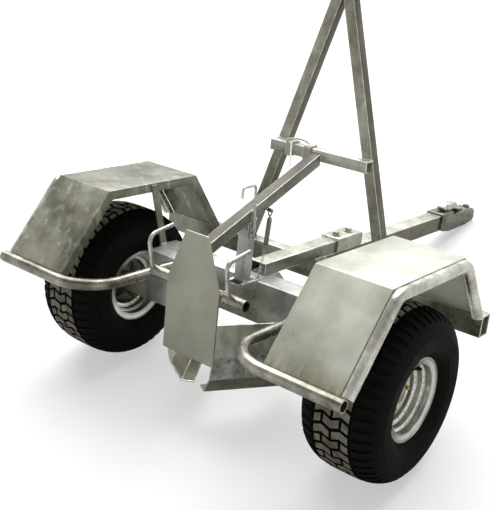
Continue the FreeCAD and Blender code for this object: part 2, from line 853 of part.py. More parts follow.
def post_outline(inset):
    """Side view of the post between the socket's top and the brace's sloping underside."""
    corners = brace_outline(0)
    slope = (corners[1][1] - corners[0][1]) / (corners[1][0] - corners[0][0])
    back = size("post_back_y") + inset
    front = size("post_back_y") + size("mast_tube") - inset
    under_back = corners[0][1] + slope * (back - corners[0][0])
    under_front = corners[0][1] + slope * (front - corners[0][0])
    foot = size("deck_level")
    return [(back, foot), (front, foot), (front, under_front), (back, under_back)]


post_bar = padded("post_bar", "YZ_Plane", [post_outline(0)], "mast_tube", "-mast_tube/2")
post_core = padded("post_core", "YZ_Plane", [post_outline(size("mast_wall"))], "mast_tube-mast_wall*2",
                   "-mast_tube/2+mast_wall")
keep("brace_post", cut("post", post_bar, post_core))


def head_shape():
    """A cap plate over both legs with an upright rounded lug, bored across."""
    width = size("head_plate_width")
    deep = size("mast_tube")
    cap = Part.makeBox(width, deep, size("head_plate_thickness"),
                       V(-width / 2, size("mast_y") - deep / 2, mast_top))
    thick = size("lug_thickness")
    radius = size("lug_radius")
    base = mast_top + size("head_plate_thickness")
    eye = V(0, size("mast_y") - thick / 2, base + size("lug_height"))
    web = Part.makeBox(radius * 2, thick, size("lug_height"), V(-radius, eye.y, base))
    crown = Part.makeCylinder(radius, thick, eye, V(0, 1, 0))
    bore = Part.makeCylinder(size("lug_bore_radius"), thick + size("overrun") * 2,
                             eye - V(0, size("overrun"), 0), V(0, 1, 0))
    return cap.fuse(web).fuse(crown).cut(bore).removeSplitter()


keep("mast_head", feature("head", head_shape()))

# Rear plate, transverse tube, folded scoop walls and horns

plate_corners = [
    (-size("rear_plate_half_width"), size("rear_plate_bottom")),
    (size("rear_plate_half_width"), size("rear_plate_bottom")),
    (size("rear_plate_half_width"), size("rear_plate_shoulder")),
    (size("rear_plate_top_half_width"), size("rear_plate_top")),
    (-size("rear_plate_top_half_width"), size("rear_plate_top")),
    (-size("rear_plate_half_width"), size("rear_plate_shoulder")),
]
keep("rear_plate", padded("rear_plate_sheet", "XZ_Plane", [plate_corners], "rear_plate_thickness",
                          "-rear_plate_back_y-rear_plate_thickness"))

plate_front_y = size("rear_plate_back_y") + size("rear_plate_thickness")
rear_tube_y = plate_front_y + size("pipe_radius")


def round_tube_x(name, half_length, y, z):
    """A round tube across the trailer, open at both ends."""
    items = []
    for kind, radius, extra in (("outer", "pipe_radius", "0"), ("hollow", "pipe_radius-pipe_wall", "overrun")):
        item = doc.addObject("Part::Cylinder", f"{name}_{kind}")
        bind(item, "Radius", radius)
        bind(item, "Height", f"{half_length}*2+{extra}*2")
        item.Placement.Rotation = FreeCAD.Rotation(V(0, 1, 0), 90)
        bind(item, "Placement.Base.x", f"-{half_length}-{extra}")
        bind(item, "Placement.Base.y", y)
        bind(item, "Placement.Base.z", z)
        items.append(item)
    return cut(name, *items)


keep("rear_tube", round_tube_x("cross_pipe", "rear_tube_half_length",
                               "rear_plate_back_y+rear_plate_thickness+pipe_radius", "rear_tube_z"))


def scoop_shape(side):
    """A sheet with three folds, swept along its splayed and then straight run beside the plate."""
    start = V(size("scoop_start_x"), plate_front_y, 0)
    corner = V(size("scoop_corner_x"), size("scoop_corner_y"), 0)
    end = V(size("scoop_corner_x"), size("scoop_front_y"), 0)
    along = (corner - start).normalize()
    inward = V(-along.y, along.x, 0)
    wall = size("scoop_wall")
    fold_share = 0.33
    outer = [
        (0, size("scoop_top")),
        (0, size("scoop_fold_z")),
        (size("scoop_foot_inset"), size("scoop_foot_z")),
        (size("scoop_skirt_inset"), size("scoop_floor_z")),
        (size("scoop_floor_inset"), size("scoop_floor_z")),
    ]
    inner = [
        (size("scoop_floor_inset"), size("scoop_floor_z") + wall),
        (size("scoop_skirt_inset") + wall * fold_share, size("scoop_floor_z") + wall),
        (size("scoop_foot_inset") + wall, size("scoop_foot_z") + wall * fold_share),
        (wall, size("scoop_fold_z")),
        (wall, size("scoop_top")),
    ]
    lead = start - along * size("scoop_floor_inset")
    corners = [lead + inward * u + V(0, 0, z) for u, z in outer + inner]
    section = Part.makePolygon(corners + corners[:1])
    path = Part.Wire([Part.LineSegment(lead, corner).toShape(), Part.LineSegment(corner, end).toShape()])
    shape = path.makePipeShell([section], True, False, 1)
    reach = size("beam_length")
    behind = Part.makeBox(reach, reach, reach, V(-reach / 2, -reach + start.y, 0))
    square_end = Part.makeBox(reach, reach, reach, V(-reach / 2, -reach, 0))
    square_end.rotate(V(0, 0, 0), V(0, 0, 1), math.degrees(math.atan2(along.y, along.x)) - 90)
    square_end.translate(start)
    under_beam = Part.makeBox(reach, reach, reach,
                              V(-reach / 2, size("beam_back_y"), size("beam_top") - size("beam_height")))
    shape = shape.cut(square_end).cut(behind).cut(under_beam)
    if side < 0:
        shape = shape.mirror(V(0, 0, 0), V(1, 0, 0))
    return shape


def horn_shape(side):
    """A round rod welded to the back of the rear tube, which rises and bends over forward."""
    x = size("horn_x")
    rod = size("horn_radius")
    route = [
        (x, rear_tube_y, size("rear_tube_z")),
        (x, size("horn_knee_y"), size("horn_knee_z")),
        (x, size("horn_back_y"), size("horn_top_z")),
        (x, size("horn_tip_y"), size("horn_tip_z")),
    ]
    bar = bent_rod(mirrored_points(route, side), size("horn_bend"), rod)
    reach = rod * 4
    tube = Part.makeCylinder(size("pipe_radius"), reach, V(side * x - reach / 2, rear_tube_y, size("rear_tube_z")),
                             V(1, 0, 0))
    return bar.cut(tube)


for side_name, side in SIDES.items():
    keep(f"{side_name}_scoop_wall", feature(f"{side_name}_scoop", scoop_shape(side)))
    keep(f"{side_name}_horn", feature(f"{side_name}_horn_rod", horn_shape(side)))

# Mudguards: folded plate, round rail on the outer edge, flat bar on the inner edge, strut and bumper tube


def guard_line(drop):
    """Side view of the guard's folds, lowered square to its own faces by a drop."""
    points = [
        (size("guard_back_y"), size("guard_back_z")),
        (size("guard_top_back_y"), size("guard_top")),
        (size("guard_top_front_y"), size("guard_top")),
        (size("guard_front_y"), size("guard_front_z")),
    ]
    back_angle = math.atan2(points[1][1] - points[0][1], points[1][0] - points[0][0])
    front_angle = math.atan2(points[3][1] - points[2][1], points[3][0] - points[2][0])
    fold_back = drop * math.tan(back_angle / 2)
    fold_front = drop * math.tan(-front_angle / 2)
    top = size("guard_top") - drop
    return [
        (points[0][0] + drop * math.sin(back_angle), points[0][1] - drop * math.cos(back_angle)),
        (points[1][0] + fold_back, top),
        (points[2][0] - fold_front, top),
        (points[3][0] + drop * math.sin(front_angle), points[3][1] - drop * math.cos(front_angle)),
    ]


def guard_plate(name, side):
    """The folded sheet, with a short upright lip down to the bumper tube."""
    outer = guard_line(0)
    inner = guard_line(size("guard_sheet"))
    lip_rise = math.sqrt(size("pipe_radius") ** 2 - (size("guard_back_y") - size("bumper_y")) ** 2)
    lip_bottom = size("bumper_z") + lip_rise
    front_floor = size("deck_level")
    sheet_width = size("guard_sheet")
    outline = (
        [(outer[0][0], lip_bottom)] + outer[:3] + [(outer[3][0], front_floor)]
        + [(outer[3][0] - sheet_width, front_floor)] + [inner[2], inner[1]]
        + [(outer[0][0] + sheet_width, inner[0][1] + sheet_width / 2), (outer[0][0] + sheet_width, lip_bottom)]
    )
    offset = "guard_inner_x" if side > 0 else "-guard_outer_x"
    return padded(name, "YZ_Plane", [outline], "guard_outer_x-guard_inner_x", offset)


def guard_rail(side):
    """Round tube along the sheet's outer edge, its top level with the sheet and bent with the folds."""
    line = guard_line(size("pipe_radius"))
    x = side * (size("guard_rail_x"))
    points = [V(x, y, z) for y, z in line]
    rail = bent_pipe(points, size("guard_rail_bend"), size("pipe_radius"), size("pipe_wall"))
    reach = size("cross_length")
    below = Part.makeBox(reach, reach, reach, V(-reach / 2 + x, size("cross_centre_y") - reach / 2,
                                                size("deck_level") - reach))
    bumper = Part.makeCylinder(size("pipe_radius"), reach, V(-reach / 2, size("bumper_y"), size("bumper_z")),
                               V(1, 0, 0))
    return rail.cut(below).cut(bumper)


def edge_bar(side):
    """Flat bar on edge under the sheet's inner edge."""
    upper = guard_line(size("guard_sheet"))
    lower = guard_line(size("guard_sheet") + size("edge_bar_depth"))
    thick = size("edge_bar_thickness")
    low_x = size("guard_inner_x") if side > 0 else -size("guard_inner_x") - thick
    corners = [V(low_x, y, z) for y, z in upper + lower[::-1]]
    bar = Part.Face(Part.makePolygon(corners + corners[:1])).extrude(V(thick, 0, 0))
    reach = size("cross_length")
    below = Part.makeBox(reach, reach, reach, V(-reach / 2, size("cross_centre_y") - reach / 2,
                                                size("deck_level") - reach))
    return bar.cut(below)


def guard_strut(side):
    """Flat bar beside the inner edge bar, down to the end of the axle beam."""
    thick = size("strut_thickness")
    half = size("strut_width") / 2
    top = size("guard_top") - size("guard_sheet")
    foot = size("beam_top")
    low_x = size("guard_inner_x") - thick if side > 0 else -size("guard_inner_x")
    outline = [
        V(low_x, size("strut_top_y") - half, top),
        V(low_x, size("strut_top_y") + half, top),
        V(low_x, size("strut_foot_y") + half, foot),
        V(low_x, size("strut_foot_y") - half, foot),
    ]
    return Part.Face(Part.makePolygon(outline + outline[:1])).extrude(V(thick, 0, 0))


def bumper_shape(side):
    """Round tube along the guard's lower rear edge, bent forward to the axle bracket."""
    y = size("bumper_y")
    z = size("bumper_z")
    route = [
        (size("bumper_end_x"), y, z),
        (size("bumper_run_x"), y, z),
        (size("bumper_run_x"), axle_y - size("stub_side") / 2, z),
    ]
    return bent_pipe(mirrored_points(route, side), size("bumper_bend"), size("pipe_radius"), size("pipe_wall"))


for side_name, side in SIDES.items():
    keep(f"{side_name}_mudguard", guard_plate(f"{side_name}_guard", side))
    keep(f"{side_name}_guard_rail", feature(f"{side_name}_rail", guard_rail(side)))
    keep(f"{side_name}_edge_bar", feature(f"{side_name}_bar", edge_bar(side)))
    keep(f"{side_name}_guard_strut", feature(f"{side_name}_strut", guard_strut(side)))
    keep(f"{side_name}_bumper_tube", feature(f"{side_name}_bumper", bumper_shape(side)))

# Latch gear between the brace and the socket's slot


def strip_shape():
    """A slotted flat bar on the right side of the brace and the post."""
    half = size("mast_tube") / 2
    thick = size("strip_thickness")
    back = size("strip_back_y")
    width = size("strip_width")
    bottom = size("strip_bottom")
    top = size("strip_top")
    bar = Part.makeBox(thick, width, top - bottom, V(half, back, bottom))
    slot_back = back + (width - size("strip_slot_width")) / 2
    lower = (bottom + top) / 2 - size("strip_slot_gap") / 2 - size("strip_slot_length")
    upper = (bottom + top) / 2 + size("strip_slot_gap") / 2
    for level in (lower, upper):
        bar = bar.cut(Part.makeBox(thick + size("overrun") * 2, size("strip_slot_width"), size("strip_slot_length"),
                                   V(half - size("overrun"), slot_back, level)))
    return bar


def hook_shape():
    """A hooked rod that leans up along the strip and bends back over the brace's side."""
    x = size("mast_tube") / 2 + size("strip_thickness") + size("hook_radius")
    route = [
        V(x, size("hook_tip_y"), size("hook_tip_z")),
        V(x, size("hook_tip_y"), size("hook_top_z")),
        V(x, size("hook_y"), size("hook_top_z")),
        V(x, size("hook_foot_y"), size("hook_foot_z")),
    ]
    return bent_rod(route, size("hook_bend"), size("hook_radius"))


def spring_shape():
    """A close-wound spring under an eye that hangs on a pin in the brace's right side."""
    x = size("spring_x")
    bottom = V(x, size("spring_bottom_y"), size("spring_bottom"))
    top = V(x, size("spring_top_y"), size("spring_top"))
    wire = size("spring_wire_radius")
    coil = Part.makeCylinder(size("spring_radius"), (top - bottom).Length, bottom, top - bottom)
    eye_at = V(x, size("spring_top_y"), size("spring_eye_z"))
    eye = Part.makeTorus(size("spring_eye_radius"), wire, eye_at, V(1, 0, 0))
    stem = Part.makeCylinder(wire, eye_at.z - size("spring_eye_radius") - top.z + wire, top - V(0, 0, wire))
    pin_end = size("mast_tube") / 2
    pin = Part.makeCylinder(size("spring_pin_radius"), x + wire * 2 - pin_end,
                            V(pin_end, eye_at.y, eye_at.z + size("spring_eye_radius")), V(1, 0, 0))
    return coil.fuse(stem).fuse(eye).fuse(pin)


keep("latch_strip", feature("strip", strip_shape()))
keep("latch_hook_rod", feature("hook", hook_shape()))
keep("latch_spring", feature("spring", spring_shape()))

# Rope: from the brace to a first set of turns on the crossbar, over them and on to a second set


def crossbar_turns(first_x, turns, step, rear_y, front_y, low_z, high_z):
    """Corners of the turns round the bar, each carried a quarter of the step along it."""
    corners = []
    for turn in range(turns):
        x = first_x + turn * step
        corners += [V(x, front_y, high_z), V(x + step / 4, front_y, low_z), V(x + step / 2, rear_y, low_z),
                    V(x + step * 3 / 4, rear_y, high_z)]
    return corners


def rope_shape():
    off = size("rope_standoff")
    front_y = size("mast_y") - size("mast_tube") / 2 + off
    rear_y = size("mast_y") - size("mast_tube") * crossbar_depth_share - off
    low_z = size("crossbar_bottom") - off
    high_z = size("crossbar_bottom") + size("mast_tube") + off
    step = size("rope_pitch")
    start = V(-size("mast_tube") / 2 - off, size("rope_brace_y"), size("rope_brace_z"))
    first = crossbar_turns(size("rope_first_x"), int(size("rope_first_turns")), -step, rear_y, front_y, low_z, high_z)
    crossing = first.pop() + V(0, 0, size("rope_crossing_rise"))
    second = crossbar_turns(size("rope_second_x"), int(size("rope_second_turns")), step, rear_y, front_y, low_z,
                            high_z)
    arrival = V(size("rope_first_x"), rear_y, high_z)
    end = second[-1] + V(0, size("rope_tail"), 0)
    return bent_rod([start, arrival] + first + [crossing] + second + [end], size("rope_bend"), size("rope_radius"))


keep("crossbar_rope", feature("rope", rope_shape()))

# Parking tilt: the trailer turns about its wheels until the front of the ball socket's rim meets the ground

doc.recompute()
rim_drop = math.sqrt(size("coupling_head_radius") ** 2 - size("coupling_ball_radius") ** 2)
contact_y = size("coupling_ball_y") + size("coupling_ball_radius") - axle_y
contact_rise = size("coupling_ball_z") - rim_drop - axle_z
contact_reach = math.hypot(contact_y, contact_rise)
tilt_angle = math.atan2(contact_rise, contact_y) + math.asin(size("tyre_radius") / contact_reach)
pivot = V(0, axle_y, axle_z)
turn_down = FreeCAD.Rotation(V(1, 0, 0), -math.degrees(tilt_angle))
tilted = FreeCAD.Placement(V(0, 0, 0), turn_down, pivot)

for name, (item, place) in nodes.items():
    item.Placement = tilted.multiply(place)
doc.recompute()

bounds = FreeCAD.BoundBox()
for item, place in nodes.values():
    bounds.add(item.Shape.optimalBoundingBox(False))
to_centre = FreeCAD.Placement(V(0, -bounds.Center.y, size("tyre_radius") - axle_z), FreeCAD.Rotation())
for name, (item, place) in nodes.items():
    item.Placement = to_centre.multiply(tilted).multiply(place)
doc.recompute()

# Every object has to be sound before anything is written

for item in doc.Objects:
    if {"Invalid", "Error"} & set(item.State):
        raise RuntimeError(f"{item.Label} did not build: {item.State}")
for name, (item, place) in nodes.items():
    if item.Shape.isNull() or not item.Shape.isValid() or not item.Shape.Solids:
        raise RuntimeError(f"{name} has no sound solid")

for name, (item, place) in nodes.items():
    item.Shape.exportStep(f"parts/{name}.step")

print("nodes", len(nodes), "tilt", math.degrees(tilt_angle), "shift", -bounds.Center.y, "mast top", mast_top)
print("length", round(bounds.YLength, 1), "width", round(bounds.XLength, 1), "height", round(bounds.ZLength, 1),
      "low", round(bounds.ZMin, 2))
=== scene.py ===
import math
import bmesh
import bpy
from mathutils import Matrix, Vector


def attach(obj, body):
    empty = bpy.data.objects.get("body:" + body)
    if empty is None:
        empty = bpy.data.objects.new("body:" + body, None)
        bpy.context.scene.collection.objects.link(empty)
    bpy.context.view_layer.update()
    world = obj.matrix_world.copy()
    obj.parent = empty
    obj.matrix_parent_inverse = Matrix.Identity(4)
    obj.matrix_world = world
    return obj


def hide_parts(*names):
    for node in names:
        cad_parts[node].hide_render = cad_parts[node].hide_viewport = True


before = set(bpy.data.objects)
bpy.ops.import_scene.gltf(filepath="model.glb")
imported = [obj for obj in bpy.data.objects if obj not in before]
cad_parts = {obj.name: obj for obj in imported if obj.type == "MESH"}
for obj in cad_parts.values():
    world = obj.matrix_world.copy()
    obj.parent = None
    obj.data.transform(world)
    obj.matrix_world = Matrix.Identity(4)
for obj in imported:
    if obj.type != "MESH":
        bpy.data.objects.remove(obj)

for spare in ("Cube", "Light", "Camera"):
    if spare in bpy.data.objects:
        bpy.data.objects.remove(bpy.data.objects[spare])

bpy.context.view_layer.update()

# The trailer is drawn level in millimetres, then turned to its parked place in metres
MM = 0.001
PARK_TILT = math.radians(12.192548654003255)
PARK_SHIFT = -561.6991182656122
AXLE_Y = -16.0
AXLE_Z = 259.0
TYRE_R = 244.5
HALF_TRACK = 507.0
SIDES = {"left": -1, "right": 1}


def parked(x, y, z):
    """Place of a level drawing point on the parked trailer, in metres."""
    along = y - AXLE_Y
    up = z - AXLE_Z
    turned_y = AXLE_Y + along * math.cos(PARK_TILT) + up * math.sin(PARK_TILT) + PARK_SHIFT
    turned_z = TYRE_R + up * math.cos(PARK_TILT) - along * math.sin(PARK_TILT)
    return Vector((x, turned_y, turned_z)) * MM


def wheel_centre(side):
    """Middle of a wheel on its axle."""
    return parked(side * HALF_TRACK, AXLE_Y, AXLE_Z)


def parking():
    """The whole level drawing's turn and shift, for meshes drawn level in metres."""
    centre = Vector((0, AXLE_Y, AXLE_Z)) * MM
    shift = Vector((0, PARK_SHIFT, TYRE_R - AXLE_Z)) * MM
    turn = Matrix.Rotation(-PARK_TILT, 4, "X")
    return Matrix.Translation(centre + shift) @ turn @ Matrix.Translation(-centre)


# Finishes


def finish_base(name):
    """A material with its shader, and its place on the object to paint from."""
    paint = bpy.data.materials.new(name)
    paint.use_nodes = True
    tree = paint.node_tree
    shader = tree.nodes["Principled BSDF"]
    place = tree.nodes.new("ShaderNodeTexCoord")
    return paint, tree, shader, place.outputs["Object"]


def stretched(tree, place, scale, turn=(0, 0, 0)):
    """The same place with its axes stretched, for streaks and brushed marks."""
    mapping = tree.nodes.new("ShaderNodeMapping")
    mapping.inputs["Scale"].default_value = scale
    mapping.inputs["Rotation"].default_value = turn
    tree.links.new(place, mapping.inputs["Vector"])
    return mapping.outputs["Vector"]


def grain(tree, place, scale, detail, roughness):
    """Cloudy noise about a middle value of a half."""
    noise = tree.nodes.new("ShaderNodeTexNoise")
    noise.inputs["Scale"].default_value = scale
    noise.inputs["Detail"].default_value = detail
    noise.inputs["Roughness"].default_value = roughness
    tree.links.new(place, noise.inputs["Vector"])
    return noise.outputs["Fac"]


def band(tree, value, low, high, low_out=0.0, high_out=1.0):
    """Part of a value's span, spread out to a new span."""
    spread = tree.nodes.new("ShaderNodeMapRange")
    spread.inputs["From Min"].default_value = low
    spread.inputs["From Max"].default_value = high
    spread.inputs["To Min"].default_value = low_out
    spread.inputs["To Max"].default_value = high_out
    tree.links.new(value, spread.inputs["Value"])
    return spread.outputs["Result"]


def colours(tree, value, stops):
    """A value turned to colours, each with the value where it stands."""
    ramp = tree.nodes.new("ShaderNodeValToRGB")
    scale = ramp.color_ramp
    while len(scale.elements) < len(stops):
        scale.elements.new(0.5)
    for stop, (at, colour) in zip(scale.elements, stops):
        stop.position = at
        stop.color = (*colour, 1.0)
    tree.links.new(value, ramp.inputs["Fac"])
    return ramp.outputs["Color"]


def laid_over(tree, under, over, amount, way="MIX"):
    """One colour over another by an amount; each is a socket, a colour or a number."""
    mix = tree.nodes.new("ShaderNodeMix")
    mix.data_type = "RGBA"
    mix.blend_type = way
    for value, socket in ((amount, mix.inputs[0]), (under, mix.inputs[6]), (over, mix.inputs[7])):
        if isinstance(value, (int, float)):
            socket.default_value = value
        elif isinstance(value, tuple):
            socket.default_value = (*value, 1.0)
        else:
            tree.links.new(value, socket)
    return mix.outputs[2]


def relief(tree, shader, heights):
    """Bump from several heights, each with its depth in metres."""
    normal = None
    for value, depth in heights:
        bump = tree.nodes.new("ShaderNodeBump")
        bump.inputs["Strength"].default_value = 1.0
        bump.inputs["Distance"].default_value = depth
        tree.links.new(value, bump.inputs["Height"])
        if normal:
            tree.links.new(normal, bump.inputs["Normal"])
        normal = bump.outputs["Normal"]
    tree.links.new(normal, shader.inputs["Normal"])


SPECK_SCALE = 330.0
STAIN_SCALE = 13.0
STAIN_BROWN = (0.62, 0.54, 0.4)
RUN_STRETCH = (38.0, 38.0, 4.0)
GUARD_FOOT_Y = -376.0
GUARD_FOOT_Z = 392.0
FOOT_REACH = 0.045
FOOT_BROWN = (0.5, 0.42, 0.28)
WHITE = (1.0, 1.0, 1.0)


def foot_dirt(tree, place, strength):
    """Mask of the brown stain that fades up from a mudguard's rear lower edge."""
    split = tree.nodes.new("ShaderNodeSeparateXYZ")
    tree.links.new(place, split.inputs[0])
    edge = parked(0, GUARD_FOOT_Y, GUARD_FOOT_Z).y
    near = band(tree, split.outputs["Y"], edge, edge + FOOT_REACH, 1.0, 0.0)
    dirt = grain(tree, stretched(tree, place, (60.0, 12.0, 12.0)), 1.0, 6.0, 0.65)
    dirty = band(tree, dirt, 0.3, 0.62, 0.25, 1.0)
    both = tree.nodes.new("ShaderNodeMath")
    both.operation = "MULTIPLY"
    tree.links.new(near, both.inputs[0])
    tree.links.new(dirty, both.inputs[1])
    return band(tree, both.outputs[0], 0.0, 1.0, 0.0, strength)


def galvanised(name, dark, light, blotch=9.0, spangle=70.0, flaky=0.45, stain=0.35, streak=0.0, lean=0.6,
               metallic=0.4, rough=(0.3, 0.58), foot=0.0):
    """Hot-dip zinc: cloudy patches, small spangle, brownish stains, pale runs and a slightly lumpy skin.

    foot is the strength of the brown stain along a mudguard's rear lower edge."""
    paint, tree, shader, place = finish_base(name)
    clouds = grain(tree, place, blotch, 7.0, 0.62)
    middle = tuple((a + b) / 2 for a, b in zip(dark, light))
    tone = colours(tree, clouds, [(0.36, dark), (0.5, middle), (0.62, light)])
    flakes = tree.nodes.new("ShaderNodeTexVoronoi")
    flakes.inputs["Scale"].default_value = spangle
    tree.links.new(place, flakes.inputs["Vector"])
    flake_tone = tree.nodes.new("ShaderNodeSeparateColor")
    tree.links.new(flakes.outputs["Color"], flake_tone.inputs["Color"])
    flake = flake_tone.outputs["Red"]
    pale = colours(tree, flake, [(0.0, (0.76, 0.76, 0.76)), (1.0, WHITE)])
    tone = laid_over(tree, tone, pale, flaky, "MULTIPLY")
    specks = grain(tree, place, SPECK_SCALE, 3.0, 0.7)
    speck_tone = colours(tree, specks, [(0.34, (0.74, 0.7, 0.6)), (0.6, WHITE)])
    tone = laid_over(tree, tone, speck_tone, 0.2, "MULTIPLY")
    leaning = stretched(tree, place, (1.0, 1.0, 0.55), (lean, 0.0, 0.3))
    patches = grain(tree, leaning, STAIN_SCALE, 4.0, 0.55)
    stains = band(tree, patches, 0.44, 0.72, 0.0, stain)
    tone = laid_over(tree, tone, STAIN_BROWN, stains, "MULTIPLY")
    if streak:
        runs = grain(tree, stretched(tree, place, RUN_STRETCH, (lean, 0.3, 0.0)), 1.0, 6.0, 0.62)
        run_mask = band(tree, runs, 0.54, 0.68, 0.0, streak)
        tone = laid_over(tree, tone, tuple(min(0.9, c * 1.5) for c in light), run_mask)
    if foot:
        tone = laid_over(tree, tone, FOOT_BROWN, foot_dirt(tree, place, foot), "MULTIPLY")
    tree.links.new(tone, shader.inputs["Base Color"])
    shader.inputs["Metallic"].default_value = metallic
    gloss = band(tree, laid_over(tree, clouds, flake, flaky * 0.6), 0.3, 0.7, rough[0], rough[1])
    tree.links.new(gloss, shader.inputs["Roughness"])
    relief(tree, shader, [(clouds, 0.0006), (specks, 0.00006)])
    return paint


def plated(name, dark, light, rough, metallic=0.9, scale=24.0):
    """Smooth zinc plating, faintly clouded, with handling marks."""
    paint, tree, shader, place = finish_base(name)
    clouds = grain(tree, place, scale, 5.0, 0.6)
    tone = colours(tree, clouds, [(0.3, dark), (0.7, light)])
    marks = grain(tree, place, 420.0, 2.0, 0.6)
    mark_tone = colours(tree, marks, [(0.3, (0.78, 0.76, 0.72)), (0.5, WHITE)])
    tree.links.new(laid_over(tree, tone, mark_tone, 0.5, "MULTIPLY"), shader.inputs["Base Color"])
    shader.inputs["Metallic"].default_value = metallic
    tree.links.new(band(tree, clouds, 0.3, 0.7, rough[0], rough[1]), shader.inputs["Roughness"])
    relief(tree, shader, [(clouds, 0.0003), (marks, 0.00004)])
    return paint


def pressed(name, dark, light):
    """Bright pressed steel: fine rings round the axle as light and dark bands, partly turning marks and
    partly painted highlights and groove shade, with grime left in some of them.
    """
    paint, tree, shader, place = finish_base(name)
    centre = parked(0, AXLE_Y, AXLE_Z)
    centred = tree.nodes.new("ShaderNodeMapping")
    centred.inputs["Location"].default_value = (0.0, -centre.y, -centre.z)
    centred.inputs["Scale"].default_value = (0.0, 1.0, 1.0)
    tree.links.new(place, centred.inputs["Vector"])
    distance = tree.nodes.new("ShaderNodeVectorMath")
    distance.operation = "LENGTH"
    tree.links.new(centred.outputs["Vector"], distance.inputs[0])
    split = tree.nodes.new("ShaderNodeSeparateXYZ")
    tree.links.new(place, split.inputs[0])
    ring = tree.nodes.new("ShaderNodeCombineXYZ")
    tree.links.new(distance.outputs["Value"], ring.inputs["X"])
    tree.links.new(split.outputs["X"], ring.inputs["Y"])
    rings_and_highlights = grain(tree, stretched(tree, ring.outputs[0], (150.0, 150.0, 150.0)), 1.0, 5.0, 0.7)
    clouds = grain(tree, place, 20.0, 5.0, 0.6)
    # Light and dark ring bands: turning marks with painted concentric highlights and groove shade
    tone = colours(tree, rings_and_highlights, [(0.38, dark), (0.6, light)])
    grime = colours(tree, clouds, [(0.34, (0.6, 0.58, 0.5)), (0.56, WHITE)])
    tree.links.new(laid_over(tree, tone, grime, 0.6, "MULTIPLY"), shader.inputs["Base Color"])
    shader.inputs["Metallic"].default_value = 0.95
    tree.links.new(band(tree, rings_and_highlights, 0.35, 0.65, 0.34, 0.12), shader.inputs["Roughness"])
    relief(tree, shader, [(rings_and_highlights, 0.0003), (clouds, 0.0002)])
    return paint


def rubber(name, dark, dusty, dust=0.5):
    """Dry black rubber with dust on its worn faces and a fine moulded grain."""
    paint, tree, shader, place = finish_base(name)
    wear = grain(tree, place, 26.0, 6.0, 0.65)
    worn = tuple(d + (e - d) * dust for d, e in zip(dark, dusty))
    tone = colours(tree, wear, [(0.36, dark), (0.72, worn)])
    tree.links.new(tone, shader.inputs["Base Color"])
    tree.links.new(band(tree, wear, 0.3, 0.7, 0.62, 0.86), shader.inputs["Roughness"])
    shader.inputs["Specular IOR Level"].default_value = 0.06
    skin = grain(tree, place, 700.0, 2.0, 0.6)
    relief(tree, shader, [(wear, 0.0004), (skin, 0.0001)])
    return paint


zinc_tube = galvanised("zinc on square tube", (0.3, 0.295, 0.235), (0.62, 0.615, 0.53), flaky=0.3,
                       stain=0.3, metallic=0.3, rough=(0.22, 0.44))
# Painted shade: darker olive for the sideways faces of the drawbar and the mast legs
zinc_side_shade = galvanised("olive zinc with painted shade on tube sides", (0.075, 0.071, 0.044), (0.19, 0.182, 0.13), flaky=0.3,
                       stain=0.4, metallic=0.3, rough=(0.3, 0.5))
# Painted shading on sideways faces: darker than the backbone's top, lighter than the brace's top
zinc_green_side_shading = galvanised("greenish zinc on brace sides", (0.14, 0.15, 0.11), (0.32, 0.335, 0.27), flaky=0.3,
                        stain=0.3, metallic=0.3, rough=(0.26, 0.46))
zinc_mast = galvanised("browned zinc on mast tube", (0.26, 0.25, 0.19), (0.57, 0.555, 0.465), blotch=10.0,
                       flaky=0.3, stain=0.6, streak=0.35, metallic=0.3, rough=(0.22, 0.44))
zinc_cross = galvanised("grey-olive zinc on crossbar", (0.38, 0.38, 0.32), (0.74, 0.74, 0.66), blotch=10.0,
                        flaky=0.3, stain=0.4, metallic=0.3, rough=(0.22, 0.44))
# Painted shade: the brace's top and its other faces not turned sideways are darker than its sides
zinc_brace_top_shade = galvanised("brown-grey zinc with painted shade on brace top", (0.06, 0.052, 0.035), (0.15, 0.137, 0.1), blotch=10.0,
                        flaky=0.3, stain=0.5, metallic=0.2, rough=(0.4, 0.6))
zinc_beam = galvanised("blue-grey zinc on beam", (0.34, 0.365, 0.345), (0.76, 0.79, 0.76), blotch=7.0,
                       spangle=55.0, flaky=0.3, stain=0.3, metallic=0.35, rough=(0.22, 0.44))
zinc_pipe = galvanised("zinc on round pipe", (0.15, 0.142, 0.115), (0.42, 0.41, 0.36), blotch=16.0,
                       flaky=0.3, stain=0.5, metallic=0.75, rough=(0.18, 0.34))
zinc_rail = galvanised("pale zinc on guard rail", (0.44, 0.435, 0.39), (0.84, 0.835, 0.79), blotch=15.0,
                       stain=0.4, metallic=0.65, rough=(0.16, 0.34))
zinc_guard = galvanised("zinc on guard sheet", (0.45, 0.465, 0.385), (0.66, 0.68, 0.59), blotch=5.0,
                        flaky=0.1, stain=0.3, rough=(0.26, 0.44), foot=0.95)
zinc_worn_guard = galvanised("stained zinc on guard sheet", (0.15, 0.15, 0.112), (0.43, 0.435, 0.355),
                             blotch=6.0, flaky=0.25, stain=0.6, streak=0.5, lean=0.9, foot=0.5)
# Painted shade on the left mudguard's top, with streaks and stains
zinc_shaded_guard_top = galvanised("streaked zinc with painted shade on guard top", (0.1, 0.1, 0.075), (0.26, 0.26, 0.215), blotch=8.0,
                           flaky=0.2, stain=0.6, streak=0.5, lean=0.9)
zinc_plate = galvanised("dull zinc on folded plate", (0.38, 0.375, 0.31), (0.5, 0.5, 0.425), blotch=7.0,
                        flaky=0.2, stain=0.25)
zinc_scoop = galvanised("mottled zinc on scoop", (0.42, 0.42, 0.34), (0.88, 0.86, 0.75), blotch=15.0,
                        stain=0.6, streak=0.3, metallic=0.45)
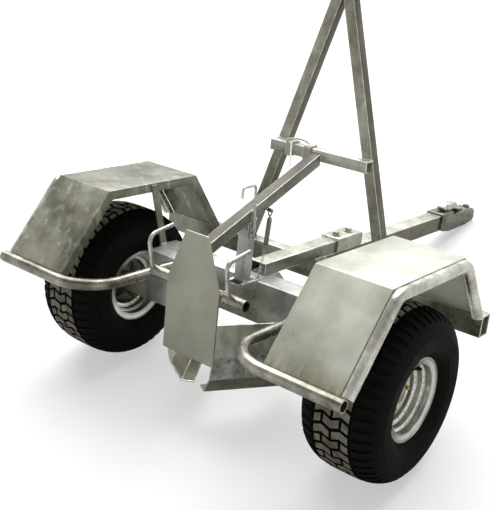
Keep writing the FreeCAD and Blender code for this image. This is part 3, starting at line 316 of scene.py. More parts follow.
# Painted shade: the lower scoop panel is darker than the upper one so that the fold shows, with swirled
# stains
zinc_scoop_low_shade = galvanised("swirled zinc with painted shade on lower scoop", (0.27, 0.285, 0.27), (0.82, 0.83, 0.79),
                            blotch=24.0, flaky=0.5, stain=0.5, streak=0.35, metallic=0.5, rough=(0.2, 0.4))
# Painted shade on the scoop's downward-facing foot band
zinc_scoop_band_shade = galvanised("olive zinc with painted shade on scoop's foot", (0.13, 0.125, 0.085), (0.34, 0.325, 0.24),
                             blotch=18.0, stain=0.5)
# Painted highlight: bright zinc on the narrow strips of tube corners, plate edges and scoop folds
zinc_painted_highlight = galvanised("zinc with painted highlight on folds and edges", (0.5, 0.51, 0.48), (0.88, 0.89, 0.86), blotch=30.0,
                         stain=0.1, metallic=0.6, rough=(0.16, 0.3))
zinc_rod = galvanised("zinc on round rod", (0.3, 0.29, 0.25), (0.66, 0.65, 0.6), blotch=26.0, metallic=0.75,
                      rough=(0.18, 0.36))
zinc_weld = galvanised("zinc over weld", (0.36, 0.38, 0.37), (0.74, 0.76, 0.74), blotch=60.0, spangle=200.0,
                       stain=0.15, metallic=0.6, rough=(0.18, 0.36))
rim_zinc = pressed("satin zinc on pressed rim", (0.34, 0.345, 0.315), (0.76, 0.77, 0.73))
hub_zinc = plated("zinc on hub", (0.24, 0.23, 0.19), (0.46, 0.44, 0.39), rough=(0.3, 0.5))
nut_gold = plated("yellow passivated nut", (0.5, 0.33, 0.09), (0.74, 0.55, 0.22), rough=(0.24, 0.42),
                  scale=60.0)
coupling_zinc = plated("greenish plating on coupling", (0.035, 0.042, 0.026), (0.17, 0.185, 0.135),
                       metallic=0.6, rough=(0.2, 0.42), scale=34.0)
handle_zinc = plated("zinc on coupling handle", (0.3, 0.29, 0.25), (0.62, 0.6, 0.55), rough=(0.2, 0.42))
latch_zinc = plated("worn zinc on latch rod", (0.34, 0.34, 0.32), (0.72, 0.72, 0.69), rough=(0.16, 0.36))
spring_dark = plated("oiled spring wire", (0.16, 0.165, 0.14), (0.4, 0.4, 0.35), rough=(0.28, 0.46))
tyre_black = rubber("black tyre rubber", (0.007, 0.0068, 0.0062), (0.022, 0.021, 0.019))
tread_dusty = rubber("dusty tread face", (0.2, 0.185, 0.15), (0.58, 0.54, 0.46), 0.9)
valve_black = rubber("valve rubber", (0.01, 0.01, 0.01), (0.04, 0.04, 0.036))
rope_fibre = rubber("pale twisted rope fibre", (0.86, 0.83, 0.75), (0.94, 0.92, 0.87), 1.0)


# Ways to pick and shape


def pick(*pieces):
    """Only these pieces are selected, and the first of them is active."""
    bpy.ops.object.select_all(action="DESELECT")
    for piece in pieces:
        piece.select_set(True)
    bpy.context.view_layer.objects.active = pieces[0]


def new_piece(name, data):
    """An object for a mesh, a curve, a light or a camera, linked into the scene."""
    piece = bpy.data.objects.new(name, data)
    bpy.context.scene.collection.objects.link(piece)
    return piece


def painted(piece, *paints):
    """The piece with these paints in its material slots, in this order."""
    piece.data.materials.clear()
    for paint in paints:
        piece.data.materials.append(paint)
    return piece


def fitted(piece, body, slot, *nodes):
    """A finished piece rides on its body and stands for its nodes; its slot is not used."""
    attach(piece, body)
    if nodes:
        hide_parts(*nodes)


def joined(name, pieces):
    """All pieces as one mesh under a new name."""
    pick(*pieces)
    bpy.ops.object.join()
    pieces[0].name = name
    return pieces[0]


def settled(piece):
    """Place, turn and size go into the mesh, so that the object sits at the origin."""
    pick(piece)
    bpy.ops.object.transform_apply(location=True, rotation=True, scale=True)
    return piece


LOOSE_CORNERS = 0.00002
FLAT_ENOUGH = math.radians(0.6)
MET_BEVELS = 0.000002
FACES_UP = 0.9


def clean_copy(node):
    """A node's mesh with its loose triangles joined to whole faces, under the node's name in capitals."""
    name = node.replace("_", " ").title().replace(" ", "_")
    piece = new_piece(name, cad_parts[node].data.copy())
    pick(piece)
    bpy.ops.mesh.customdata_custom_splitnormals_clear()
    bpy.ops.object.mode_set(mode="EDIT")
    bpy.ops.mesh.select_all(action="SELECT")
    bpy.ops.mesh.remove_doubles(threshold=LOOSE_CORNERS)
    bpy.ops.mesh.dissolve_limited(angle_limit=FLAT_ENOUGH)
    bpy.ops.object.mode_set(mode="OBJECT")
    return piece


def choose_edges(piece, wanted):
    """Selects the edges between two faces that the rule wants, and counts them."""
    shape = bmesh.new()
    shape.from_mesh(piece.data)
    for part in (shape.verts, shape.edges, shape.faces):
        for item in part:
            item.select_set(False)
    count = 0
    for edge in shape.edges:
        if len(edge.link_faces) == 2 and wanted(edge):
            edge.select_set(True)
            count += 1
    shape.to_mesh(piece.data)
    shape.free()
    return count


def bevelled(piece, width, steps, wanted):
    """Bevels the wanted edges and merges corners where bevels met."""
    if choose_edges(piece, wanted):
        pick(piece)
        bpy.ops.object.mode_set(mode="EDIT")
        bpy.ops.mesh.select_mode(type="EDGE")
        bpy.ops.mesh.bevel(offset=width, segments=steps, affect="EDGES", clamp_overlap=True)
        bpy.ops.mesh.select_all(action="SELECT")
        bpy.ops.mesh.remove_doubles(threshold=MET_BEVELS)
        bpy.ops.object.mode_set(mode="OBJECT")


def outer_corner(piece, shortest):
    """Rule for a long edge on the outside of a straight bar."""
    corners = [Vector(c) for c in piece.bound_box]
    middle = sum(corners, Vector()) / 8

    def wanted(edge):
        along = edge.verts[1].co - edge.verts[0].co
        if along.length < shortest or edge.calc_face_angle(0) < math.radians(20):
            return False
        run = along.normalized()
        out = (edge.verts[0].co + edge.verts[1].co) / 2 - middle
        out -= run * out.dot(run)
        facing = edge.link_faces[0].normal + edge.link_faces[1].normal
        return out.dot(facing) > 0
    return wanted


def sharp_edge(angle):
    """Rule for an edge that turns by more than an angle in degrees."""
    return lambda edge: edge.calc_face_angle(0) > math.radians(angle)


def strip_width(piece, face):
    """Width of a long face: its area over its longest edge."""
    corners = [piece.data.vertices[i].co for i in face.vertices]
    return face.area / max((a - b).length for a, b in zip(corners, corners[1:] + corners[:1]))


def grown(piece, top, steps):
    """The top face drawn up in steps, each with its rise in millimetres and its change of width."""
    pick(piece)
    bpy.ops.object.mode_set(mode="EDIT")
    bpy.ops.mesh.select_mode(type="FACE")
    bpy.ops.object.mode_set(mode="OBJECT")
    for face in piece.data.polygons:
        face.select = face.normal.z > FACES_UP
    bpy.ops.object.mode_set(mode="EDIT")
    for rise, width in steps:
        bpy.ops.mesh.extrude_region_move(TRANSFORM_OT_translate={"value": (0, 0, rise * MM)})
        top += rise * MM
        bpy.ops.transform.resize(value=(width, width, 1), center_override=(0, 0, top))
    bpy.ops.object.mode_set(mode="OBJECT")


def stood(start, run):
    """Turn and shift that lay an upright mesh along a run from its start."""
    return Matrix.Translation(Vector(start) * MM) @ run.to_track_quat("Z", "Y").to_matrix().to_4x4()


def smooth(piece, angle=35):
    """Smooth shading but for edges that turn by more than an angle in degrees."""
    pick(piece)
    bpy.ops.object.shade_smooth_by_angle(angle=math.radians(angle))
    return piece


# Square tubes get their rolled corners, plates and bars their broken edges

# Corner radius and paint of each tube
TUBES = {
    "axle_beam": (7.0, zinc_beam),
    "backbone": (4.0, zinc_tube),
    "drawbar": (5.0, zinc_tube),
    "drawbar_socket": (5.0, zinc_beam),
    "front_cross_beam": (5.0, zinc_tube),
    "brace_post": (3.5, zinc_beam),
    "mast_brace": (3.5, zinc_brace_top_shade),
    "mast_crossbar": (3.5, zinc_cross),
    "left_mast_leg": (3.5, zinc_mast),
    "right_mast_leg": (3.5, zinc_mast),
}
# Painted shading by face direction: the sideways faces of each listed tube take their own paint
SIDE_SHADING_PAINTS = {
    "backbone": zinc_green_side_shading,
    "drawbar": zinc_side_shade,
    "mast_brace": zinc_green_side_shading,
    "left_mast_leg": zinc_side_shade,
    "right_mast_leg": zinc_side_shade,
}
SHORTEST_CORNER = 30.0
# Tube corner strips narrower than this take the painted highlight
CORNER_HIGHLIGHT_STRIP = 1.8
TUBE_END_EDGE = 0.4
FACES_SIDEWAYS = 0.8

for node, (radius, paint) in TUBES.items():
    tube = clean_copy(node)
    bevelled(tube, radius * MM, 4, outer_corner(tube, SHORTEST_CORNER * MM))
    bevelled(tube, TUBE_END_EDGE * MM, 1, sharp_edge(50))
    painted(smooth(tube), paint, SIDE_SHADING_PAINTS.get(node, paint), zinc_painted_highlight)
    for face in tube.data.polygons:
        # Narrow strips on the rolled corners take the painted highlight
        if strip_width(tube, face) < CORNER_HIGHLIGHT_STRIP * MM:
            face.material_index = 2
        # Sideways faces of the listed tubes take the painted side shading
        elif node in SIDE_SHADING_PAINTS and abs(face.normal.x) > FACES_SIDEWAYS:
            face.material_index = 1
    fitted(tube, "frame", "galvanised_steel", node)

# Bevel, paint and slot of each plate
PLATES = {
    "rear_plate": (2.2, zinc_plate, "plate_steel"),
    "left_scoop_wall": (1.6, zinc_scoop, "plate_steel"),
    "right_scoop_wall": (1.6, zinc_scoop, "plate_steel"),
    "left_mudguard": (1.4, zinc_worn_guard, "guard_sheet"),
    "right_mudguard": (1.4, zinc_guard, "guard_sheet"),
    "left_edge_bar": (1.0, zinc_worn_guard, "guard_sheet"),
    "right_edge_bar": (1.0, zinc_guard, "guard_sheet"),
    "left_guard_strut": (1.0, zinc_worn_guard, "guard_sheet"),
    "right_guard_strut": (1.0, zinc_guard, "guard_sheet"),
    "left_axle_bracket": (2.0, zinc_beam, "galvanised_steel"),
    "right_axle_bracket": (2.0, zinc_beam, "galvanised_steel"),
    "left_rim": (0.9, rim_zinc, "rim_zinc"),
    "right_rim": (0.9, rim_zinc, "rim_zinc"),
    "latch_strip": (0.8, latch_zinc, "latch_steel"),
    "mast_head": (1.2, zinc_tube, "galvanised_steel"),
    "coupling_body": (1.2, coupling_zinc, "coupling_steel"),
    "coupling_handle": (2.6, handle_zinc, "handle_steel"),
    "backbone_clamp": (0.8, zinc_tube, "galvanised_steel"),
}
# Plate and scoop edge strips narrower than these take the painted highlight
PLATE_HIGHLIGHT_STRIP = 1.6
SCOOP_HIGHLIGHT_STRIP = 4.4
SCOOP_FOLD_Z = 250.0
SCOOP_TOP_Z = 344.5
SCOOP_BAND_Z = 160.0
LEVEL = parking().inverted()


def plate_face(piece, face):
    """The rear plate's broken edges take a painted highlight."""
    return 1 if strip_width(piece, face) < PLATE_HIGHLIGHT_STRIP * MM else 0


def guard_face(piece, face):
    """The left mudguard's top is painted darker, a painted shade, with its streaks and stains."""
    return 1 if face.normal.z > FACES_UP else 0


def scoop_face(piece, face):
    """Upper panel, lower panel and foot band with painted shade, and folds and edges with a painted
    highlight.
    """
    height = (LEVEL @ face.center).z / MM
    fold = abs(height - SCOOP_FOLD_Z) < 2.2 or abs(height - SCOOP_TOP_Z) < 2
    if fold or strip_width(piece, face) < SCOOP_HIGHLIGHT_STRIP * MM:
        return 3
    return 0 if height > SCOOP_FOLD_Z + 2 else 1 if height > SCOOP_BAND_Z else 2


# Plates in more than one paint, with the rule that picks among them
SCOOP_PAINTS = (zinc_scoop_low_shade, zinc_scoop_band_shade, zinc_painted_highlight)
MANY_PAINTS = {
    "rear_plate": (plate_face, (zinc_painted_highlight,)),
    "left_mudguard": (guard_face, (zinc_shaded_guard_top,)),
    "left_scoop_wall": (scoop_face, SCOOP_PAINTS),
    "right_scoop_wall": (scoop_face, SCOOP_PAINTS),
}
for node, (radius, paint, slot) in PLATES.items():
    plate = clean_copy(node)
    least_angle, smooth_angle = (4, 14) if "scoop" in node else (18, 35)
    bevelled(plate, radius * MM, 2, sharp_edge(least_angle))
    painted(smooth(plate, smooth_angle), paint)
    if node in MANY_PAINTS:
        choose, more_paints = MANY_PAINTS[node]
        painted(plate, paint, *more_paints)
        for face in plate.data.polygons:
            face.material_index = choose(plate, face)
    fitted(plate, node.replace("rim", "wheel") if slot == "rim_zinc" else "frame", slot, node)


# Nodes that keep their own shape take their finish

NODE_PAINT = {
    "latch_hook_rod": latch_zinc,
    "rear_tube": zinc_pipe,
    "left_bumper_tube": zinc_pipe,
    "right_bumper_tube": zinc_pipe,
    "left_guard_rail": zinc_rail,
    "right_guard_rail": zinc_rail,
    "left_horn": zinc_rod,
    "right_horn": zinc_rod,
    "left_stub_axle": zinc_tube,
    "right_stub_axle": zinc_tube,
}
for node, paint in NODE_PAINT.items():
    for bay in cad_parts[node].material_slots:
        bay.material = paint


# Turf tyres: a spun carcass with ribs, and chevron blocks laid like bricks round it

TREAD_HALF = 99.0
CROWN_DROP_AT_EDGE = 19.0
CROWN_POWER = 3.8
GROOVE = 6.0
ROWS = 48
CARCASS_STEPS = 96
BLOCK = 54.0
BLOCK_GAP = 5.5
ROW_GAP = 7.0
KINK = 10.5
SHOULDER_REACH = 5.0
SHOULDER_LENGTH = 17.0
SHOULDER_SHIFT = -1.0
LEAN_FROM = 80.0
LEAN_OVER = 60.0
WORN_HALF = 57.0
BLOCK_FOOT = 1.5
BLOCK_EDGE = 1.2
SAME_POINT = 0.00001


def tread_radius(across):
    """Height of the crown's curve over the axle, at a distance from the tyre's middle."""
    return TYRE_R - CROWN_DROP_AT_EDGE * (abs(across) / TREAD_HALF) ** CROWN_POWER


def carcass(name):
    """One section from bead to bead, drawn by extruding a point, and spun round the axle line."""
    side = [
        # Bead and lower wall
        (88, 101.5), (88.6, 114), (93, 120), (101, 125.5), (101.6, 127), (103, 127.6), (110, 136),
        (116.5, 148),
        # Step, wall and rib
        (116.9, 149), (118.2, 149.6), (118.6, 152), (118.2, 153.2), (119.2, 158), (120.4, 163),
        (120.9, 171), (121, 175), (120.4, 184), (120.9, 185), (120.6, 187), (119.4, 188),
        # Shoulder
        (118.6, 192), (116.6, 200), (113, 208), (107.5, 215.5), (101, 219.5),
    ]
    base = [(a, tread_radius(a) - GROOVE) for a in (96.0, 90.0, 80.0, 66.0, 48.0, 24.0)]
    outer = side + base + [(0.0, TYRE_R - GROOVE)] + [(-a, r) for a, r in reversed(side + base)]
    inside = [(-76, 103), (-76, 118), (-108, 156), (-109, 175), (-88, 213), (-50, 224), (0, 226),
              (50, 224), (88, 213), (109, 175), (108, 156), (76, 118), (76, 103)]
    section = outer + inside
    bpy.ops.mesh.primitive_plane_add(size=MM)
    tyre = bpy.context.object
    tyre.name = name
    bpy.ops.object.mode_set(mode="EDIT")
    bpy.ops.mesh.select_mode(type="VERT")
    bpy.ops.mesh.select_all(action="SELECT")
    bpy.ops.mesh.merge(type="CENTER")
    here = Vector((0, 0, 0))
    for across, radius in section + section[:1]:
        there = Vector((across, 0, radius)) * MM
        if here.length:
            bpy.ops.mesh.extrude_vertices_move(TRANSFORM_OT_translate={"value": there - here})
        else:
            bpy.ops.transform.translate(value=there)
        here = there
    bpy.ops.mesh.select_all(action="SELECT")
    bpy.ops.mesh.remove_doubles(threshold=SAME_POINT)
    bpy.ops.mesh.spin(steps=CARCASS_STEPS, angle=math.tau, center=(0, 0, 0), axis=(1, 0, 0))
    bpy.ops.mesh.select_all(action="SELECT")
    bpy.ops.mesh.remove_doubles(threshold=SAME_POINT)
    bpy.ops.mesh.normals_make_consistent(inside=False)
    bpy.ops.object.mode_set(mode="OBJECT")
    return tyre


def block(width, length, kink, cuts):
    """A rubber block with a bend across its middle and softened top edges, drawn flat."""
    depth = GROOVE + BLOCK_FOOT
    bpy.ops.mesh.primitive_cube_add(size=1)
    lug = bpy.context.object
    bpy.ops.object.mode_set(mode="EDIT")
    bpy.ops.mesh.select_all(action="SELECT")
    bpy.ops.transform.resize(value=(width * MM, length * MM, depth * MM))
    bpy.ops.transform.translate(value=(0, 0, -depth / 2 * MM))
    bpy.ops.object.mode_set(mode="OBJECT")
    choose_edges(lug, lambda edge: abs((edge.verts[0].co - edge.verts[1].co).x) > width / 2 * MM)
    pick(lug)
    bpy.ops.object.mode_set(mode="EDIT")
    bpy.ops.mesh.select_mode(type="EDGE")
    bpy.ops.mesh.subdivide(number_cuts=cuts)
    bpy.ops.object.mode_set(mode="OBJECT")
    for point in lug.data.vertices:
        share = 1 - abs(point.co.x) / (width / 2 * MM)
        point.co.y += kink * share * MM
    top = -0.1 * MM
    bevelled(lug, BLOCK_EDGE * MM, 1, lambda edge: (edge.verts[0].co.z > top and edge.verts[1].co.z > top
                                                    and edge.calc_face_angle(0) > math.radians(50)))
    return lug


def laid(pattern, across, along):
    """A copy of a block at its place on the unrolled tread."""
    lug = new_piece("block copy", pattern.data.copy())
    for point in lug.data.vertices:
        point.co.x += across * MM
        point.co.y += along * MM
    return lug


def tread(name):
    """Two rows of blocks unrolled, then carried round the wheel."""
    pitch = math.tau * TYRE_R / ROWS
    length = pitch - ROW_GAP
    edge = TREAD_HALF + SHOULDER_REACH
    whole = block(BLOCK - BLOCK_GAP, length, KINK, cuts=3)
    half = block(BLOCK / 2 - BLOCK_GAP, length, kink=0.0, cuts=1)
    shoulder = block(edge - BLOCK - BLOCK_GAP, SHOULDER_LENGTH, kink=0.0, cuts=5)
    for corner in half.data.vertices:
        corner.co.y += KINK * corner.co.x / (BLOCK / 2)
    left_half = new_piece("left half", half.data.copy())
    for corner in left_half.data.vertices:
        corner.co.y -= KINK * corner.co.x / (BLOCK / 4)
    edge_at = (edge + BLOCK + BLOCK_GAP) / 2
    half_at = pitch + KINK / 2
    pieces = [
        laid(whole, -BLOCK / 2, 0), laid(whole, BLOCK / 2, 0),
        laid(shoulder, -edge_at, SHOULDER_SHIFT), laid(shoulder, edge_at, SHOULDER_SHIFT),
        laid(half, -BLOCK * 0.75, half_at), laid(left_half, BLOCK * 0.75, half_at),
        laid(shoulder, -edge_at, pitch + SHOULDER_SHIFT), laid(shoulder, edge_at, pitch + SHOULDER_SHIFT),
    ]
    middle = laid(whole, 0, 0)
    for corner in middle.data.vertices:
        share = 1 - abs(corner.co.x) / ((BLOCK - BLOCK_GAP) / 2 * MM)
        corner.co.y += (pitch + KINK - 2 * KINK * share) * MM
    pieces.append(middle)
    pair = joined(name, pieces)
    for used in (whole, half, left_half, shoulder):
        bpy.data.objects.remove(used)
    for point in pair.data.vertices:
        across, along, high = (v / MM for v in point.co)
        radius = tread_radius(across) + high
        lean = max(0.0, abs(across) - LEAN_FROM) / LEAN_OVER
        across += math.copysign(high * lean, across)
        angle = along / TYRE_R
        point.co = Vector((across, radius * math.sin(angle), radius * math.cos(angle))) * MM
    rows = [pair]
    for turn in range(1, ROWS // 2):
        mesh = pair.data.copy()
        mesh.transform(Matrix.Rotation(turn * 2 * math.tau / ROWS, 4, "X"))
        rows.append(new_piece("row copy", mesh))
    return joined(name, rows)


def turf_tyre(side_name, side):
    """Carcass and tread as one, with dust on the blocks' worn faces."""
    rubber_body = smooth(painted(carcass(side_name + "_carcass"), tyre_black, tread_dusty), 40)
    blocks = painted(tread(side_name + "_blocks"), tyre_black, tread_dusty)
    for face in blocks.data.polygons:
        middle = face.center
        outward = Vector((0, middle.y, middle.z)).normalized()
        worn = face.normal.dot(outward) > FACES_UP and abs(middle.x) < WORN_HALF * MM
        face.material_index = 1 if worn else 0
    tyre = joined(side_name.title() + "_Turf_Tyre", [rubber_body, blocks])
    tyre.data.transform(Matrix.Translation(wheel_centre(side)))
    fitted(tyre, side_name + "_wheel", "tyre_rubber", side_name + "_tyre")


for side_name, side in SIDES.items():
    turf_tyre(side_name, side)


# Hubs with yellow nuts

# Where the nuts stand: out from the wheel's middle, and round the axle between two circles
NUTS_OUT = 29.5
NUTS_INNER = 36.0
NUTS_OUTER = 64.0

for side_name, side in SIDES.items():
    hub = clean_copy(side_name + "_hub")
    bevelled(hub, 0.7 * MM, 1, sharp_edge(40))
    painted(smooth(hub), hub_zinc, nut_gold)
    centre = wheel_centre(side)
    for face in hub.data.polygons:
        out = face.center - centre
        ring = math.hypot(out.y, out.z)
        if side * out.x > NUTS_OUT * MM and NUTS_INNER * MM < ring < NUTS_OUTER * MM:
            face.material_index = 1
    fitted(hub, side_name + "_wheel", "hub_steel", side_name + "_hub")


# Valve stems through the rims' outer steps

STEM_RADIUS = 5.5
STEM_FOOT = 5.0
STEM_STEPS = ((3, 0.72), (12, 0.9), (0.4, 1.3), (7, 1.0), (0.8, 0.8))
STEM_OUT = 44
STEM_OFF_AXLE = 79
STEM_LEAN = math.radians(66)
STEM_ROUND = math.radians(-62)


def valve_stem(side_name, side):
    """A tapered rubber stem with a waist and a small cap, leaning towards the hub."""
    bpy.ops.mesh.primitive_cylinder_add(vertices=16, radius=STEM_RADIUS * MM, depth=STEM_FOOT * MM,
                                        location=(0, 0, STEM_FOOT / 2 * MM))
    stem = bpy.context.object
    bpy.ops.object.transform_apply(location=True)
    grown(stem, STEM_FOOT * MM, STEM_STEPS)
    bevelled(stem, 0.4 * MM, 1, sharp_edge(40))
    smooth(painted(stem, valve_black))
    stem.name = side_name.title() + "_Valve_Stem"
    lean = Matrix.Rotation(side * STEM_LEAN, 4, "Y")
    foot = Matrix.Translation(Vector((side * STEM_OUT, 0, STEM_OFF_AXLE)) * MM)
    around = Matrix.Rotation(STEM_ROUND, 4, "X")
    stem.data.transform(around @ foot @ lean)
    stem.data.transform(Matrix.Translation(wheel_centre(side)))
    fitted(stem, side_name + "_wheel", "tyre_rubber")


for side_name, side in SIDES.items():
    valve_stem(side_name, side)


# Weld beads where the tubes and plates meet

BEAD_RADIUS = 3.2
BEAD_RIPPLE = 4.2
BEAD_END = 0.45
BEAD_DIP = 0.8


def weld_bead(start, end):
    """A ring drawn out along the joint in short ripples and closed at both ends."""
    run = (Vector(end) - Vector(start)) * MM
    ripples = max(3, round(run.length / (BEAD_RIPPLE * MM)))
    step = run.length / ripples / 2
    bpy.ops.mesh.primitive_circle_add(vertices=8, radius=BEAD_RADIUS * BEAD_END * MM, fill_type="NGON")
    bead = bpy.context.object
    bpy.ops.object.mode_set(mode="EDIT")
    bpy.ops.mesh.select_mode(type="FACE")
    bpy.ops.mesh.select_all(action="SELECT")
    width = BEAD_END
    for part in range(ripples * 2):
        wider = 1.0 if part % 2 == 0 else BEAD_DIP
        if part == ripples * 2 - 1:
            wider = BEAD_END
        bpy.ops.mesh.extrude_region_move(TRANSFORM_OT_translate={"value": (0, 0, step)})
        growth = wider / width
        bpy.ops.transform.resize(value=(growth, growth, 1), center_override=(0, 0, step * (part + 1)))
        width = wider
    bpy.ops.mesh.select_all(action="SELECT")
    bpy.ops.mesh.normals_make_consistent(inside=False)
    bpy.ops.object.mode_set(mode="OBJECT")
    bead.data.transform(parking() @ stood(start, run))
    return bead


# Across the middle: brace post, brace, backbone, drawbar and backbone clamp
WELDS = [
    ((-17.5, 7, 406), (17.5, 7, 406)), ((-17.5, -28, 581.8), (17.5, -28, 581.8)),
    ((-17.5, 7, 595.8), (17.5, 7, 595.8)), ((-17.5, -222, 541.8), (17.5, -222, 541.8)),
    ((-17.5, -222, 504.2), (17.5, -222, 504.2)), ((-17.5, 299, 750.3), (17.5, 299, 750.3)),
    ((-28, 60, 406), (28, 60, 406)), ((-28, 369, 406), (28, 369, 406)),
    ((-34, 440, 446), (34, 440, 446)), ((-34, 584, 446), (34, 584, 446)),
]
SIDE_WELDS = [
    # Brace post on its socket and under the brace, and the brace on the rear plate and on the crossbar
    ((17.5, -28, 406), (17.5, 7, 406)), ((17.5, -28, 581.8), (17.5, 7, 595.8)),
    ((17.5, -222, 505), (17.5, -222, 541)), ((17.5, 299, 725), (17.5, 299, 750)),
    # Backbone, socket and drawbar on the beams, and the rear plate on the rear tube
    ((28, 319, 406), (28, 369, 406)), ((30, 22.5, 346), (30, 22.5, 400)), ((30, 24, 402), (30, 101, 402)),
    ((30, 369, 350), (30, 369, 402)), ((40, -222, 438), (85, -222, 438)),
    # Mast leg on the front beam and on the crossbar
    ((248, 334, 406), (284, 334, 406)), ((248, 369, 406), (284, 369, 406)),
    ((144, 334, 759), (180, 334, 759)), ((150, 334, 724), (180, 334, 724)),
    # Scoop on the rear plate, guard strut on the beam, and stub axle on its bracket
    ((88, -222, 250), (88, -222, 345)), ((363, 24, 404), (363, 50, 404)),
    ((356, -38.5, 240), (356, 6.5, 240)), ((356, -38.5, 281.5), (356, 6.5, 281.5)),
    # Bumper tube on the bracket, and the rear tube beside the plate's edge
    ((233, -38.5, 395), (246, -38.5, 395)), ((96, -217, 411), (96, -217, 442)),
    ((96, -210, 442), (96, -198, 443)),
]
for side in SIDES.values():
    WELDS += [[(side * x, y, z) for x, y, z in ends] for ends in SIDE_WELDS]
beads = joined("Weld_Beads", [weld_bead(*ends) for ends in WELDS])
fitted(smooth(painted(beads, zinc_weld), 60), "frame", "galvanised_steel")


# Latch spring with its eye and pin, the short chain below it, and the strip's bolts

SPRING_FOOT = Vector((27, 50, 509))
SPRING_HEAD = Vector((27, 56, 588))
SPRING_STEPS = 14
MET_TURNS = 0.000001
EYE = Vector((27, 56, 604))


def spring_coil(radius, wire, turns):
    """A wire section wound close from the spring's foot to its head."""
    run = (SPRING_HEAD - SPRING_FOOT) * MM
    bpy.ops.mesh.primitive_circle_add(vertices=8, radius=wire * MM, location=(radius * MM, 0, 0),
                                      rotation=(math.pi / 2, 0, 0))
    coil = bpy.context.object
    bpy.ops.object.transform_apply(location=True, rotation=True)
    winding = coil.modifiers.new("winding", "SCREW")
    winding.screw_offset = run.length / turns
    winding.iterations = turns
    winding.steps = SPRING_STEPS
    winding.render_steps = SPRING_STEPS
    bpy.ops.object.modifier_apply(modifier="winding")
    bpy.ops.object.mode_set(mode="EDIT")
    bpy.ops.mesh.select_all(action="SELECT")
    bpy.ops.mesh.remove_doubles(threshold=MET_TURNS)
    bpy.ops.mesh.fill_holes(sides=0)
    bpy.ops.mesh.select_all(action="SELECT")
    bpy.ops.mesh.normals_make_consistent(inside=False)
    bpy.ops.object.mode_set(mode="OBJECT")
    coil.data.transform(stood(SPRING_FOOT, run))
    return coil


def wire_ring(radius, wire, centre, turn=(0, 0, 0), stretch=0.0):
    """A round ring, or a chain link when its halves are drawn apart."""
    bpy.ops.mesh.primitive_torus_add(major_radius=radius * MM, minor_radius=wire * MM, major_segments=20,
                                     minor_segments=8)
    ring = bpy.context.object
    for point in ring.data.vertices:
        if abs(point.co.x) > 0.01 * MM:
            point.co.x += math.copysign(stretch * MM, point.co.x)
    ring.rotation_euler = turn
    ring.location = Vector(centre) * MM
    return settled(ring)


def pin(radius, start, end, head):
    """A short round pin with a wider, rounded head at its far end."""
    run = (Vector(end) - Vector(start)) * MM
    bpy.ops.mesh.primitive_cylinder_add(vertices=18, radius=radius * MM, depth=run.length,
                                        location=(0, 0, run.length / 2))
    rod = bpy.context.object
    bpy.ops.object.transform_apply(location=True)
    grown(rod, run.length, ((0.01, head / radius), (2.2, 1.0), (1.2, 0.8)))
    rod.data.transform(stood(start, run))
    return rod


SIDEWAYS = (0, math.pi / 2, 0)
spring_parts = [
    spring_coil(radius=5.9, wire=2.05, turns=20),
    wire_ring(radius=8.0, wire=2.2, centre=EYE, turn=SIDEWAYS),
    pin(radius=2.2, start=(27, 56, 586), end=(27, 56, 595.5), head=2.4),
    pin(radius=4.0, start=(16, 56, 612), end=(31, 56, 612), head=5.4),
    wire_ring(radius=4.6, wire=1.7, centre=(27, 49.6, 504.5), turn=SIDEWAYS),
]
spring = joined("Latch_Spring", spring_parts)
spring.data.transform(parking())
smooth(painted(spring, spring_dark), 50)
fitted(spring, "frame", "latch_steel", "latch_spring")

CHAIN_TOP = Vector((27, 49, 496))
CHAIN_FOOT = Vector((24, 34, 411))
LINKS = 8


def chain():
    """Eight small links, each turned a quarter against the last, and a welded eye below them."""
    run = CHAIN_FOOT - CHAIN_TOP
    hang = (-run).to_track_quat("X", "Z").to_matrix().to_4x4()
    pattern = wire_ring(radius=3.6, wire=1.25, centre=(0, 0, 0), stretch=2.6)
    links = []
    for number in range(LINKS):
        centre = CHAIN_TOP + run * number / (LINKS - 1)
        link = new_piece("link", pattern.data.copy())
        quarter = Matrix.Rotation(math.pi / 2 * (number % 2), 4, "X")
        link.data.transform(Matrix.Translation(centre * MM) @ hang @ quarter)
        links.append(link)
    bpy.data.objects.remove(pattern)
    links.append(wire_ring(radius=4.2, wire=1.6, centre=(24, 33, 408.5), turn=SIDEWAYS))
    chained = joined("Latch_Chain", links)
    chained.data.transform(parking())
    fitted(smooth(painted(chained, latch_zinc), 60), "frame", "latch_steel")


chain()


BOLT_HEAD = 5.5
BOLT_HEAD_THICK = 4.4
BOLT_HEAD_MIDDLE = 3.3
WASHER_THICK = 1.2


def hex_bolt(start, end):
    """A hexagon head on a washer, broken at its edges, with its shank standing a little out of the head."""
    run = (Vector(end) - Vector(start)) * MM
    bpy.ops.mesh.primitive_cylinder_add(vertices=20, radius=BOLT_HEAD * 1.25 * MM, depth=WASHER_THICK * MM,
                                        location=(0, 0, WASHER_THICK / 2 * MM))
    washer = bpy.context.object
    bpy.ops.mesh.primitive_cylinder_add(vertices=6, radius=BOLT_HEAD * MM, depth=BOLT_HEAD_THICK * MM,
                                        location=(0, 0, BOLT_HEAD_MIDDLE * MM))
    head = bpy.context.object
    bpy.ops.mesh.primitive_cylinder_add(vertices=16, radius=BOLT_HEAD * 0.52 * MM, depth=run.length,
                                        location=(0, 0, run.length / 2))
    shank = bpy.context.object
    for part in (washer, head, shank):
        settled(part)
        bevelled(part, 0.35 * MM, 1, sharp_edge(40))
    bolt = joined("bolt", [washer, head, shank])
    bolt.data.transform(stood(start, run))
    return bolt


bolts = joined("Latch_Strip_Bolts", [hex_bolt((21.5, -14.5, z), (33, -14.5, z)) for z in (598, 566)])
bolts.data.transform(parking())
fitted(smooth(painted(bolts, latch_zinc)), "frame", "latch_steel")


# Rope made fast round the crossbar

